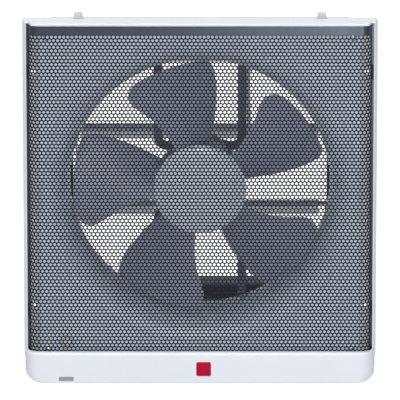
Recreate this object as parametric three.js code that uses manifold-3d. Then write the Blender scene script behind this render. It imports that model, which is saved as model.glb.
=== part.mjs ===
// Window exhaust fan for a 300 mm wall opening, 250 mm propeller, mesh cover.
// Units are millimetres. X to the right, Y into the wall, Z up.
// The origin is on the fan's axis, in the plane of the wall.
import * as THREE from 'three';
import { mergeVertices } from 'three/addons/utils/BufferGeometryUtils.js';
import Module from 'manifold-3d';

const wasm = await Module();
wasm.setup();

// ---------------------------------------------------------------- sizes

const FIT = 0.3; // clearance between neighbouring loose pieces
const PLAY = 0.2; // radial clearance of a shank or pin in its hole

const COVER = { halfWidth: 174, draft: 1, top: 175, bottom: -195.6, rimDepth: 12, rim: 3.4, wall: 2.2, cornerRadius: 4, lowCorner: 12 };
const TOP_BAR = { depth: 20.5, thickness: 2.4, cut: 11, cutY: 9, slotDepth: 4.5 };
const FASCIA = { depth: 25, height: 32.6, cornerRadius: 12 };

// Distances that hold one piece off another.
const GAP = {
  flangeSide: 1.6, flangeTop: 2.6, flangeBottom: 17.6, sleeve: 21,
  plateSide: 11, plateTop: 4, plateBottom: 6, bellRim: 3, boss: 8,
  tip: 3, tipToSleeve: 21, bellToSleeve: 6, foot: 6,
  sheetFront: 1, sheetSide: 2.6, sheetTop: 1.2, sheetBottom: 7,
  shutterSide: 20, shutterTop: 16, shutterBottom: 24, pivotTop: 10, louvreSide: 7.5, link: 4.2,
};

const RIM_INNER = COVER.halfWidth - COVER.rim;
const FASCIA_TOP = COVER.bottom + FASCIA.height;
const FLANGE = {
  halfWidth: RIM_INNER - GAP.flangeSide, top: COVER.top - TOP_BAR.thickness - GAP.flangeTop, bottom: COVER.bottom + GAP.flangeBottom,
  thickness: 2.5, lipDepth: 14, lipThickness: 2,
};
const SLEEVE = { half: FLANGE.halfWidth - GAP.sleeve, wall: 2, depth: 92, bossSize: 12, bossDepth: 12 };
const INSIDE = SLEEVE.half - SLEEVE.wall;
const HOOK = { x: SLEEVE.half - 29, base: 9.4, tip: 7.2, top: COVER.top + 6, thickness: 1.6, footWidth: 14 };

const PLATE = {
  halfWidth: FLANGE.halfWidth - GAP.plateSide, top: FLANGE.top - GAP.plateTop, bottom: FLANGE.bottom + GAP.plateBottom,
  front: -11, thickness: 1.6,
};
const BOSS = { x: PLATE.halfWidth - GAP.boss, top: PLATE.top - GAP.boss, bottom: PLATE.bottom + GAP.boss, radius: 5 };
const TIP = INSIDE - GAP.tipToSleeve;
const BELL = {
  rimRadius: Math.min(PLATE.halfWidth, PLATE.top, -PLATE.bottom) - GAP.bellRim, throatRadius: TIP + GAP.tip,
  curveEnd: 22, rear: 33.5, flangeRadius: INSIDE - GAP.bellToSleeve,
};

const MOTOR = { radius: 36, shell: 1.6, front: 36, rear: 70, cap: 4, coreFront: 46, coreRear: 58, bore: 20 };
const LUG = { bite: 2, angle: 35, pad: 6 };
const LUG_RADIUS = MOTOR.radius + LUG.pad - LUG.bite;
const BRACKET = { legX: 41.5, bend: 10, width: 8.6, thickness: 2.5, footRadius: BELL.flangeRadius - GAP.foot };
const BEARING = { radius: 11, width: 7, bore: 4.15 };
const COIL = { inner: 22, outer: 32, height: 6.5 };

const HUB = { radius: 44, wall: 2.5, front: -3, rear: 24, dish: 2, bossRadius: 8, bossRear: 26, root: 1.2 };
const SPINNER = { radius: 45.5, front: -8.5, wall: 2 };
const SHAFT = { radius: 4, seat: 5, collar: 7, front: HUB.dish - 6, rear: MOTOR.rear + MOTOR.cap - 0.6 };
const BLADES = 5;
// Outline of one blade: share of the way from root to tip, angle of the leading edge, angle of the trailing edge.
const BLADE_STATIONS = [
  [0, 48.5, 4], [0.185, 49, 5], [0.355, 50.1, 5.9], [0.526, 52.1, 7.2],
  [0.696, 55, 8.7], [0.818, 56, 10.2], [0.915, 54.6, 11.6], [0.97, 52.2, 13], [1, 48.6, 15],
];
const BLADE = { leadY: -1.4, trailY: 21.5, camber: 3.2, rootThickness: 2.8, tipThickness: 1.8, chordSteps: 6 };

const SHUTTER = {
  halfWidth: INSIDE - GAP.shutterSide, top: INSIDE - GAP.shutterTop, bottom: GAP.shutterBottom - INSIDE,
  front: SLEEVE.depth - 26, wall: 1.5, outerHalf: INSIDE - 0.5, access: 4.5,
};
const LOUVRES = 3;
const LOUVRE_PITCH = (SHUTTER.top - SHUTTER.bottom - 12) / LOUVRES;
const LOUVRE = {
  pivotY: SLEEVE.depth - 15.5, topPivot: SHUTTER.top - GAP.pivotTop, chord: LOUVRE_PITCH - 3.6, halfWidth: SHUTTER.halfWidth - GAP.louvreSide,
  sheet: 1.2, roll: 3, lip: 4, pin: 2, open: 64,
};
const LINK = { radius: 22, angle: 25, pin: 1.8, x: -LOUVRE.halfWidth - GAP.link, thickness: 1.6, halfWidth: 3, lug: 1.4 };
const ACTUATOR = { depth: GAP.shutterSide - SHUTTER.wall - 2, height: 24 };

const NOTCH = { x: 15.7 - SLEEVE.half, width: 14.8, height: 7.6, depth: 3, radius: 1.2 };
const SHEET = {
  front: GAP.sheetFront - TOP_BAR.depth, thickness: 1.2, roll: 8, rear: -8, top: COVER.top - TOP_BAR.thickness - GAP.sheetTop,
  bottom: FASCIA_TOP - GAP.sheetBottom, strip: 10,
};
const SHEET_SIDE = RIM_INNER - GAP.sheetSide;
const SHEET_FLAT = SHEET_SIDE - SHEET.roll;
const SHEET_BACK = SHEET.front + SHEET.thickness;
// The mesh is drawn coarser than the real one, which has 3 mm holes 4 mm apart.
const MESH = { pitch: 27, hole: 20, margin: 4 };
const RAIL = { thickness: 2, height: 8.6 };
const CLIP = { z: SLEEVE.half - 26, half: 7 };
const CATCH = { x: SLEEVE.half - 48, half: 6, y: -8, thickness: 2, pad: 8 };
const BADGE = { x: 3.55, size: 14.5, thickness: 0.8, drop: 0.6 };

const BUSH = { x: 26 - PLATE.halfWidth, z: PLATE.bottom + 16, bore: 3.5, neck: 5, flange: 7, flangeThickness: 1.5 };
const BOX = { gap: 3.4, front: 4, rear: 28, wall: 2, lid: 2 };
const CAPACITOR = { width: 28, height: 26, front: 8, rear: 30, drop: 4, strap: 1.4, strapWidth: 8, foot: 9 };
const LEAD = { radius: 2, block: 6, exit: 10 };

const SCREW = { shank: 1.9, head: 3.6, headHeight: 2.2 };
const ROUND = 24; // sides of a large turned form
const SMALL = 8; // sides of a pin or screw

// ---------------------------------------------------------------- derived values

const DEG = Math.PI / 180;
const THREADED = SCREW.shank + PLAY;
const BRACKET_FRONT = BELL.rear;
const BRACKET_REAR = BRACKET_FRONT + BRACKET.thickness;
const BEARING_FRONT = MOTOR.front - MOTOR.cap;
const BEARING_REAR = MOTOR.rear + MOTOR.cap - BEARING.width;
const LUG_X = LUG_RADIUS * Math.sin(LUG.angle * DEG);
const LUG_Z = LUG_RADIUS * Math.cos(LUG.angle * DEG);
const PIVOTS = Array.from({ length: LOUVRES }, (_, i) => LOUVRE.topPivot - i * LOUVRE_PITCH);

// ---------------------------------------------------------------- solid helpers

function toSolid(geometry) {
  const bare = geometry.clone();
  for (const name of ['normal', 'uv']) bare.deleteAttribute(name);
  const merged = mergeVertices(bare, 1e-4);
  const mesh = new wasm.Mesh({
    numProp: 3,
    vertProperties: new Float32Array(merged.attributes.position.array),
    triVerts: new Uint32Array(merged.index.array),
  });
  mesh.merge();
  return new wasm.Manifold(mesh);
}

const union = (...solids) => wasm.Manifold.union(solids.flat());
const cut = (solid, ...tools) => wasm.Manifold.difference([solid, ...tools.flat()]);
const common = (...solids) => wasm.Manifold.intersection(solids);

function toGeometry(solid) {
  const mesh = solid.getMesh();
  const geometry = new THREE.BufferGeometry();
  geometry.setAttribute('position', new THREE.BufferAttribute(mesh.vertProperties.slice(), 3));
  geometry.setIndex(new THREE.BufferAttribute(mesh.triVerts.slice(), 1));
  geometry.computeVertexNormals();
  return geometry;
}

function block(x0, x1, y0, y1, z0, z1) {
  const geometry = new THREE.BoxGeometry(x1 - x0, y1 - y0, z1 - z0);
  geometry.translate((x0 + x1) / 2, (y0 + y1) / 2, (z0 + z1) / 2);
  return toSolid(geometry);
}

// A closed profile of [radius, y] pairs turned about the fan's axis.
function turned(profile, sides = ROUND) {
  const points = profile.map(([r, y]) => new THREE.Vector2(r, y));
  if (THREE.ShapeUtils.isClockWise(points)) points.reverse();
  return toSolid(new THREE.LatheGeometry([...points, points[0]], sides));
}

function outline(points) {
  return new THREE.Shape(points.map(([a, b]) => new THREE.Vector2(a, b)));
}

function rounded(x0, x1, z0, z1, radius, corners = [1, 1, 1, 1]) {
  const path = [];
  const centres = [[x1, z1, 0], [x0, z1, 90], [x0, z0, 180], [x1, z0, 270]];
  centres.forEach(([x, z, start], i) => {
    const r = radius * corners[i];
    const sx = x === x1 ? -r : r;
    const sz = z === z1 ? -r : r;
    const steps = r > 0 ? 4 : 0;
    for (let k = 0; k <= steps; k += 1) {
      const a = (start + (steps ? (90 * k) / steps : 0)) * DEG;
      path.push([x + sx + r * Math.cos(a), z + sz + r * Math.sin(a)]);
    }
  });
  return outline(path);
}

function extruded(shape, depth) {
  return new THREE.ExtrudeGeometry(shape, { depth, bevelEnabled: false, curveSegments: 6 });
}

// A shape in the plane of the wall (x, z), between two depths.
function facing(shape, y0, y1) {
  const geometry = extruded(shape, y1 - y0);
  geometry.rotateX(Math.PI / 2);
  geometry.translate(0, y1, 0);
  return toSolid(geometry);
}

// A shape seen from the side (y, z), between two widths.
function sideways(shape, x0, x1) {
  const geometry = extruded(shape, x1 - x0);
  const turn = new THREE.Matrix4().makeBasis(
    new THREE.Vector3(0, 1, 0), new THREE.Vector3(0, 0, 1), new THREE.Vector3(1, 0, 0));
  geometry.applyMatrix4(turn);
  geometry.translate(x0, 0, 0);
  return toSolid(geometry);
}

// A shape seen from above (x, y), between two heights.
function upright(shape, z0, z1) {
  const geometry = extruded(shape, z1 - z0);
  geometry.translate(0, 0, z0);
  return toSolid(geometry);
}

function rodY(x, z, radius, y0, y1, sides = SMALL) {
  const geometry = new THREE.CylinderGeometry(radius, radius, y1 - y0, sides);
  geometry.translate(x, (y0 + y1) / 2, z);
  return toSolid(geometry);
}

function rodX(y, z, radius, x0, x1, sides = SMALL) {
  const geometry = new THREE.CylinderGeometry(radius, radius, x1 - x0, sides);
  geometry.rotateZ(Math.PI / 2);
  geometry.translate((x0 + x1) / 2, y, z);
  return toSolid(geometry);
}

// A strip of even width along a path of [x, z] points, in the plane of the wall.
function strip(points, width, y0, y1) {
  const left = [];
  const right = [];
  points.forEach(([x, z], i) => {
    const [ax, az] = points[Math.max(i - 1, 0)];
    const [bx, bz] = points[Math.min(i + 1, points.length - 1)];
    const length = Math.hypot(bx - ax, bz - az);
    const nx = (-(bz - az) / length) * (width / 2);
    const nz = ((bx - ax) / length) * (width / 2);
    left.push([x + nx, z + nz]);
    right.unshift([x - nx, z - nz]);
  });
  return facing(outline([...left, ...right]), y0, y1);
}

// ---------------------------------------------------------------- scene

const group = new THREE.Group();
group.name = 'window_exhaust_fan';

const FINISH = {
  white: [0xe3e7ec, 0, 0.45],
  plate: [0xe6e7eb, 0, 0.5],
  zinc: [0xb9bcc0, 0.9, 0.35],
  steel: [0x8d9094, 0.9, 0.4],
  darkSteel: [0x3b3e46, 0.5, 0.45],
  mesh: [0x1b1f27, 0.4, 0.4],
  blade: [0xb0b0c2, 0, 0.5],
  spinner: [0xe4e4e9, 0, 0.3],
  copper: [0xa9632f, 0.8, 0.45],
  black: [0x1d1f22, 0, 0.6],
  red: [0xb5002c, 0, 0.35],
  lead: [0xd9dadd, 0, 0.6],
  greyRubber: [0xb4b6ba, 0, 0.75],
};

function add(name, solid, finish) {
  const [color, metalness, roughness] = FINISH[finish];
  const material = new THREE.MeshStandardMaterial({ color, metalness, roughness, flatShading: true });
  const mesh = new THREE.Mesh(toGeometry(solid), material);
  mesh.name = name;
  group.add(mesh);
}

// A pan-head screw along Y: the head lies on the plane y and the shank goes by `length` in `direction`.
function screw(name, x, z, y, length, direction = 1) {
  const head = rodY(x, z, SCREW.head, Math.min(y, y - direction * SCREW.headHeight), Math.max(y, y - direction * SCREW.headHeight));
  const shank = rodY(x, z, SCREW.shank, Math.min(y, y + direction * length), Math.max(y, y + direction * length));
  const slot = block(x - SCREW.head, x + SCREW.head, y - direction * SCREW.headHeight - 0.8, y - direction * SCREW.headHeight + 0.8, z - 0.5, z + 0.5);
  add(name, cut(union(head, shank), slot), 'zinc');
}

const SIDES = [['left', -1], ['right', 1]];
const CORNERS = [[-1, 1], [1, 1], [-1, -1], [1, -1]];

// ---------------------------------------------------------------- sleeve, flange and hooks

{
  const tube = cut(
    block(-SLEEVE.half, SLEEVE.half, -FLANGE.thickness, SLEEVE.depth, -SLEEVE.half, SLEEVE.half),
    block(-INSIDE, INSIDE, -FLANGE.thickness - 1, SLEEVE.depth + 1, -INSIDE, INSIDE));
  const flange = cut(
    block(-FLANGE.halfWidth, FLANGE.halfWidth, -FLANGE.thickness, 0, FLANGE.bottom, FLANGE.top),
    block(-INSIDE, INSIDE, -FLANGE.thickness - 1, 1, -INSIDE, INSIDE),
    CORNERS.map(([sx, sz]) => rodY(sx * (FLANGE.halfWidth + PLATE.halfWidth) / 2, sz * (SLEEVE.half - 28), 2.4, -FLANGE.thickness - 1, 1)));
  const lip = block(19 - FLANGE.halfWidth, FLANGE.halfWidth - 19, -FLANGE.lipDepth, 0, FLANGE.bottom, FLANGE.bottom + FLANGE.lipThickness);
  const plateBosses = CORNERS.map(([sx, sz]) => {
    const z = sz > 0 ? BOSS.top : BOSS.bottom;
    return rodY(sx * BOSS.x, z, BOSS.radius, PLATE.front + PLATE.thickness, -FLANGE.thickness / 2, 16);
  });
  const rearBosses = CORNERS.map(([sx, sz]) => {
    const inner = INSIDE - SLEEVE.bossSize;
    const xs = [sx * inner, sx * (INSIDE + 1)].sort((a, b) => a - b);
    const zs = [sz * inner, sz * (INSIDE + 1)].sort((a, b) => a - b);
    return block(...xs, SLEEVE.depth - SLEEVE.bossDepth, SLEEVE.depth, ...zs);
  });
  const plateHoles = CORNERS.map(([sx, sz]) => rodY(sx * BOSS.x, sz > 0 ? BOSS.top : BOSS.bottom, THREADED, PLATE.front, 1));
  const rear = INSIDE - SLEEVE.bossSize / 2;
  const rearHoles = CORNERS.map(([sx, sz]) => rodY(sx * rear, sz * rear, THREADED, SLEEVE.depth - SLEEVE.bossDepth - 1, SLEEVE.depth + 1));
  add('wall_sleeve', cut(union(tube, flange, lip, plateBosses, rearBosses), plateHoles, rearHoles), 'white');
}

for (const [side, s] of SIDES) {
  const x = s * HOOK.x;
  const foot = block(x - HOOK.footWidth / 2, x + HOOK.footWidth / 2, -FLANGE.thickness - HOOK.thickness, -FLANGE.thickness, PLATE.top + FIT, FLANGE.top + HOOK.thickness);
  const bridge = block(x - HOOK.base / 2, x + HOOK.base / 2, -FLANGE.thickness - HOOK.thickness / 2, 0, FLANGE.top, FLANGE.top + HOOK.thickness);
  const tongue = facing(outline([
    [x - HOOK.base / 2, FLANGE.top], [x + HOOK.base / 2, FLANGE.top], [x + HOOK.base / 2, COVER.top],
    [x + HOOK.tip / 2, HOOK.top], [x - HOOK.tip / 2, HOOK.top], [x - HOOK.base / 2, COVER.top],
  ]), -HOOK.thickness, 0);
  add(`hook_${side}`, union(foot, bridge, tongue), 'white');
}

// ---------------------------------------------------------------- orifice plate with its bell mouth

{
  const back = PLATE.front + PLATE.thickness;
  const tray = cut(
    block(-PLATE.halfWidth, PLATE.halfWidth, PLATE.front, -FLANGE.thickness, PLATE.bottom, PLATE.top),
    block(-PLATE.halfWidth + PLATE.thickness, PLATE.halfWidth - PLATE.thickness, back, 0, PLATE.bottom + PLATE.thickness, PLATE.top - PLATE.thickness),
    rodY(0, 0, BELL.rimRadius - 2, PLATE.front - 1, back + 1, 2 * ROUND));
  const bellSteps = 6;
  const inner = [];
  const outer = [];
  for (let i = 0; i <= bellSteps; i += 1) {
    const t = (90 - (90 * i) / bellSteps) * DEG;
    const r = BELL.rimRadius - (BELL.rimRadius - BELL.throatRadius) * Math.cos(t);
    const y = BELL.curveEnd - (BELL.curveEnd - PLATE.front) * Math.sin(t);
    inner.push([r, y]);
    outer.unshift([r + PLATE.thickness * Math.cos(t), y + PLATE.thickness * Math.sin(t)]);
  }
  const w = PLATE.thickness;
  const bell = turned([
    ...inner, [BELL.throatRadius, BELL.rear], [BELL.flangeRadius, BELL.rear], [BELL.flangeRadius, BELL.rear - w],
    [BELL.throatRadius + w, BELL.rear - w], ...outer,
  ], 2 * ROUND);
  const screwHoles = CORNERS.map(([sx, sz]) => rodY(sx * BOSS.x, sz > 0 ? BOSS.top : BOSS.bottom, THREADED, PLATE.front - 1, back + 1));
  const footZ = Math.sqrt(BRACKET.footRadius ** 2 - BRACKET.legX ** 2);
  const footHoles = CORNERS.map(([sx, sz]) => rodY(sx * BRACKET.legX, sz * footZ, THREADED, BELL.rear - w - 1, BELL.rear + 1));
  const bushHole = rodY(BUSH.x, BUSH.z, BUSH.neck + PLAY, PLATE.front - 1, back + 1, 16);
  add('orifice_plate', cut(union(tray, bell), screwHoles, footHoles, bushHole), 'plate');
  CORNERS.forEach(([sx, sz], i) => {
    screw(`plate_screw_${i + 1}`, sx * BOSS.x, sz > 0 ? BOSS.top : BOSS.bottom, PLATE.front, -PLATE.front - 1);
    screw(`bracket_screw_${i + 1}`, sx * BRACKET.legX, sz * footZ, BRACKET_REAR, BRACKET.thickness + w + 2, -1);
  });
  const bush = turned([
    [BUSH.bore, PLATE.front - BUSH.flangeThickness], [BUSH.flange, PLATE.front - BUSH.flangeThickness], [BUSH.flange, PLATE.front],
    [BUSH.neck, PLATE.front], [BUSH.neck, back], [BUSH.flange, back], [BUSH.flange, back + BUSH.flangeThickness],
    [BUSH.bore, back + BUSH.flangeThickness],
  ], 16);
  add('cord_bush', bush.translate([BUSH.x, 0, BUSH.z]), 'greyRubber');
}

// ---------------------------------------------------------------- motor and its brackets

[['upper', 1], ['lower', -1]].forEach(([place, s]) => {
  const footZ = Math.sqrt(BRACKET.footRadius ** 2 - BRACKET.legX ** 2) + 5;
  const path = [[-BRACKET.legX, footZ]];
  for (const side of [-1, 1]) {
    for (let k = 0; k <= 5; k += 1) {
      const a = (side < 0 ? 180 + 18 * k : 270 + 18 * k) * DEG;
      path.push([side * (BRACKET.legX - BRACKET.bend) + BRACKET.bend * Math.cos(a), LUG_Z + BRACKET.bend + BRACKET.bend * Math.sin(a)]);
    }
  }
  path.push([BRACKET.legX, footZ]);
  const mirrored = s > 0 ? path : path.map(([x, z]) => [x, -z]).reverse();
  const holes = [-1, 1].flatMap((side) => [
    rodY(side * LUG_X, s * LUG_Z, THREADED, BRACKET_FRONT - 1, BRACKET_REAR + 1),
    rodY(side * BRACKET.legX, s * (footZ - 5), THREADED, BRACKET_FRONT - 1, BRACKET_REAR + 1),
  ]);
  add(`motor_bracket_${place}`, cut(strip(mirrored, BRACKET.width, BRACKET_FRONT, BRACKET_REAR), holes), 'darkSteel');
});

{
  const r = MOTOR.radius;
  const w = MOTOR.shell;
  const pocket = BEARING.radius + w;
  const frontFloor = BEARING_FRONT;
  const frontCup = turned([
    [6.5, frontFloor - w], [pocket, frontFloor - w], [pocket, MOTOR.front], [r, MOTOR.front], [r, MOTOR.coreFront],
    [r - 2.5, MOTOR.coreFront], [r - 2.5, MOTOR.front + w], [BEARING.radius, MOTOR.front + w], [BEARING.radius, frontFloor], [6.5, frontFloor],
  ]);
  const lugs = CORNERS.map(([sx, sz]) => rodY(sx * LUG_X, sz * LUG_Z, LUG.pad, MOTOR.front, MOTOR.front + w, 16));
  const lugHoles = CORNERS.map(([sx, sz]) => rodY(sx * LUG_X, sz * LUG_Z, THREADED, MOTOR.front - 1, MOTOR.front + w + 1));
  const outlet = block(r - 3, r + LEAD.block - 2, MOTOR.front + 2, MOTOR.coreFront - 2, LEAD.exit - 4, LEAD.exit + 4);
  const cavity = rodY(0, 0, r - 2.5, MOTOR.front + w, MOTOR.coreFront + 1, ROUND);
  const shanks = CORNERS.map(([sx, sz]) => rodY(sx * LUG_X, sz * LUG_Z, THREADED, MOTOR.front - 1, MOTOR.coreFront + 1));
  add('motor_front_shell', cut(union(frontCup, lugs, cut(outlet, cavity)), lugHoles, shanks), 'zinc');
  CORNERS.forEach(([sx, sz], i) => screw(`motor_screw_${i + 1}`, sx * LUG_X, sz * LUG_Z, BRACKET_FRONT, BRACKET.thickness + w + 2));

  const rearFloor = MOTOR.rear + MOTOR.cap;
  add('motor_rear_shell', turned([
    [0, rearFloor], [BEARING.radius, rearFloor], [BEARING.radius, MOTOR.rear - w], [r - 2.5, MOTOR.rear - w], [r - 2.5, MOTOR.coreRear],
    [r, MOTOR.coreRear], [r, MOTOR.rear], [pocket, MOTOR.rear], [pocket, rearFloor + w], [0, rearFloor + w],
  ]), 'zinc');
  add('stator_core', turned([[MOTOR.bore, MOTOR.coreFront], [r, MOTOR.coreFront], [r, MOTOR.coreRear], [MOTOR.bore, MOTOR.coreRear]]), 'steel');
  const coil = (face, out) => turned([
    [COIL.inner, face], [COIL.outer, face], [COIL.outer, face + out * (COIL.height - 2)], [COIL.outer - 2, face + out * COIL.height],
    [COIL.inner + 2, face + out * COIL.height], [COIL.inner, face + out * (COIL.height - 2)],
  ]);
  add('winding_front', coil(MOTOR.coreFront, -1), 'copper');
  add('winding_rear', coil(MOTOR.coreRear, 1), 'copper');
  const bearing = (y) => turned([[BEARING.bore, y], [BEARING.radius, y], [BEARING.radius, y + BEARING.width], [BEARING.bore, y + BEARING.width]]);
  add('bearing_front', bearing(BEARING_FRONT), 'steel');
  add('bearing_rear', bearing(BEARING_REAR), 'steel');
}

// ---------------------------------------------------------------- terminal box, capacitor and motor lead

{
  const far = INSIDE;
  const near = (BELL.rimRadius + BOX.gap) / Math.SQRT2;
  const boxBody = cut(
    block(near, far, BOX.front, BOX.rear, near, far),
    block(near + BOX.wall, far - BOX.wall, BOX.front + BOX.wall, BOX.rear + 1, near + BOX.wall, far - BOX.wall));
  const middle = (near + far) / 2;
  const post = cut(rodY(middle, middle, 4.5, BOX.front + BOX.wall / 2, BOX.rear, 16), rodY(middle, middle, THREADED, BOX.front + 4, BOX.rear + 1));
  add('terminal_box', union(boxBody, post), 'black');
  add('terminal_lid', cut(
    block(near, far - FIT, BOX.rear, BOX.rear + BOX.lid, near, far - FIT),
    rodY(middle, middle, THREADED, BOX.rear - 1, BOX.rear + BOX.lid + 1)), 'black');
  screw('lid_screw', middle, middle, BOX.rear + BOX.lid, 12, -1);

  const low = -INSIDE + CAPACITOR.drop;
  const high = low + CAPACITOR.height;
  const left = INSIDE - CAPACITOR.width;
  add('capacitor', upright(rounded(left, INSIDE, CAPACITOR.front, CAPACITOR.rear, 3, [0, 1, 1, 0]), low, high), 'black');
  const s = CAPACITOR.strap;
  const y0 = (CAPACITOR.front + CAPACITOR.rear - CAPACITOR.strapWidth) / 2;
  const y1 = y0 + CAPACITOR.strapWidth;
  const strap = union(
    cut(block(left - s, INSIDE, y0, y1, low - s, high + s), block(left, INSIDE + 1, y0 - 1, y1 + 1, low, high)),
    block(INSIDE - s, INSIDE, y0, y1, high + s / 2, high + s + CAPACITOR.foot));
  add('capacitor_strap', strap, 'zinc');

  const y = (MOTOR.front + MOTOR.coreFront) / 2;
  const start = MOTOR.radius + LEAD.block - 2;
  const run = BRACKET.legX + BRACKET.width / 2 + LEAD.radius + FIT;
  const curve = new THREE.CatmullRomCurve3([
    new THREE.Vector3(start, y, LEAD.exit), new THREE.Vector3(start + 2, y, LEAD.exit), new THREE.Vector3(run - 1.5, y, LEAD.exit + 4),
    new THREE.Vector3(run, y - 1, LEAD.exit + 12), new THREE.Vector3(run, y - 1, near / 2), new THREE.Vector3(run, y - 1, near),
    new THREE.Vector3(run + 4, y - 1, near + 14), new THREE.Vector3(run + 21, y - 2, far - 8), new THREE.Vector3(near - 20, y - 8, far - 8),
    new THREE.Vector3(near - 8, BOX.front + 14, middle + 2),
    new THREE.Vector3(near - 2, BOX.front + 12, middle), new THREE.Vector3(near, BOX.front + 12, middle),
  ], false, 'centripetal');
  const ring = new THREE.Shape();
  ring.absarc(0, 0, LEAD.radius, 0, 2 * Math.PI);
  add('motor_lead', toSolid(new THREE.ExtrudeGeometry(ring, { steps: 40, curveSegments: 4, bevelEnabled: false, extrudePath: curve })), 'lead');
}

// ---------------------------------------------------------------- rotor

function blade(turn) {
  const { chordSteps } = BLADE;
  const first = HUB.radius - HUB.root;
  const rows = BLADE_STATIONS.map(([share, lead, trail]) => {
    const r = first + (TIP - first) * share;
    const thickness = BLADE.rootThickness + (BLADE.tipThickness - BLADE.rootThickness) * share;
    const front = [];
    const back = [];
    for (let k = 0; k <= chordSteps; k += 1) {
      const u = k / chordSteps;
      const a = (lead + (trail - lead) * u + turn) * DEG;
      const y = BLADE.leadY + (BLADE.trailY - BLADE.leadY) * u - BLADE.camber * Math.sin(Math.PI * u);
      const half = (thickness / 2) * (k === 0 || k === chordSteps ? 0.45 : 1);
      front.push([r * Math.cos(a), y - half, r * Math.sin(a)]);
      back.push([r * Math.cos(a), y + half, r * Math.sin(a)]);
    }
    return [...front, ...back.reverse()];
  });
  const ring = rows[0].length;
  const positions = rows.flat(2);
  const index = [];
  for (let i = 0; i + 1 < rows.length; i += 1) {
    for (let k = 0; k < ring; k += 1) {
      const [a, b] = [i * ring + k, i * ring + ((k + 1) % ring)];
      index.push(a, b, a + ring, b, b + ring, a + ring);
    }
  }
  const end = (rows.length - 1) * ring;
  for (let k = 0; k < ring / 2 - 1; k += 1) {
    const [a, b, c, d] = [k, k + 1, ring - 2 - k, ring - 1 - k];
    index.push(a, d, b, b, d, c, end + a, end + b, end + d, end + b, end + c, end + d);
  }
  const geometry = new THREE.BufferGeometry();
  geometry.setAttribute('position', new THREE.Float32BufferAttribute(positions, 3));
  geometry.setIndex(index);
  return toSolid(geometry);
}

{
  const { radius, wall, front, rear, dish, bossRadius, bossRear } = HUB;
  const bore = SHAFT.radius + PLAY / 2;
  const hub = turned([
    [bore, dish], [radius - 8, dish], [radius - 6, front], [radius, front], [radius, rear], [radius - wall, rear],
    [radius - wall, dish + wall], [bossRadius, dish + wall], [bossRadius, bossRear], [bore, bossRear],
  ]);
  const blades = Array.from({ length: BLADES }, (_, i) => blade((360 / BLADES) * i));
  add('propeller', union(hub, blades), 'blade');

  const dome = [[0, 0], [0.44, 0.04], [0.68, 0.16], [0.84, 0.34], [0.94, 0.56], [1, 0.86]];
  const rise = front - SPINNER.front;
  const outer = dome.map(([u, v]) => [u * SPINNER.radius, SPINNER.front + v * rise]);
  const inner = dome.slice(0, 4).map(([u, v]) => [u * SPINNER.radius, SPINNER.front + SPINNER.wall + v * (rise - SPINNER.wall) * 0.9]).reverse();
  add('spinner', turned([...outer, [SPINNER.radius, front], [radius - 4, front], ...inner]), 'spinner');

  const seatFront = BEARING_FRONT - FIT;
  const collarFront = BEARING_FRONT + BEARING.width + 1;
  add('shaft', turned([
    [0, SHAFT.front], [SHAFT.radius, SHAFT.front], [SHAFT.radius, bossRear], [SHAFT.seat, bossRear], [SHAFT.seat, seatFront],
    [SHAFT.radius, seatFront], [SHAFT.radius, collarFront], [SHAFT.collar, collarFront + 2], [SHAFT.collar, MOTOR.coreFront],
    [SHAFT.seat, MOTOR.coreFront], [SHAFT.seat, MOTOR.coreRear + 2], [SHAFT.radius, MOTOR.coreRear + 3], [SHAFT.radius, SHAFT.rear], [0, SHAFT.rear],
  ]), 'steel');
  add('rotor_core', turned([
    [SHAFT.seat + 0.05, MOTOR.coreFront], [MOTOR.bore - 0.6, MOTOR.coreFront], [MOTOR.bore - 0.6, MOTOR.coreRear], [SHAFT.seat + 0.05, MOTOR.coreRear],
  ]), 'steel');
  add('shaft_nut', cut(rodY(0, 0, 7, dish - 4, dish, 6), rodY(0, 0, bore, dish - 5, dish + 1, ROUND)), 'zinc');
}

// ---------------------------------------------------------------- shutter

{
  const { halfWidth, top, bottom, front, wall, outerHalf } = SHUTTER;
  const rear = SLEEVE.depth + wall;
  const inner = block(-halfWidth, halfWidth, front - 1, rear + 1, bottom, top);
  const frontFrame = block(-outerHalf, outerHalf, front, front + wall, -outerHalf, outerHalf);
  const tube = block(-halfWidth - wall, halfWidth + wall, front, rear, bottom - wall, top + wall);
  const rearFrame = block(-SLEEVE.half, SLEEVE.half, SLEEVE.depth, rear, -SLEEVE.half, SLEEVE.half);
  const place = INSIDE - SLEEVE.bossSize / 2;
  const pinHoles = PIVOTS.map((z) => rodX(LOUVRE.pivotY, z, LOUVRE.pin + PLAY * 2, -halfWidth - wall - 1, halfWidth + wall + 1, 16));
  const screwHoles = CORNERS.map(([sx, sz]) => rodY(sx * place, sz * place, THREADED, SLEEVE.depth - 1, rear + 1));
  const accessHoles = CORNERS.map(([sx, sz]) => rodY(sx * place, sz * place, SHUTTER.access, front - 1, front + wall + 1, 16));
  add('shutter_frame', cut(union(frontFrame, tube, rearFrame), inner, pinHoles, screwHoles, accessHoles), 'darkSteel');
  CORNERS.forEach(([sx, sz], i) => {
    const y = SLEEVE.depth - SLEEVE.bossDepth;
    screw(`shutter_screw_${i + 1}`, sx * place, sz * place, y, rear - FIT - y);
  });

  const side = halfWidth + wall;
  const mid = PIVOTS[1];
  add('shutter_actuator', cut(
    block(side, side + ACTUATOR.depth, LOUVRE.pivotY - 8, SLEEVE.depth - 2, mid - ACTUATOR.height / 2, mid + ACTUATOR.height / 2),
    rodX(LOUVRE.pivotY, mid, LOUVRE.pin + PLAY * 2, side - 1, side + 7, 16)), 'black');
}

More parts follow.
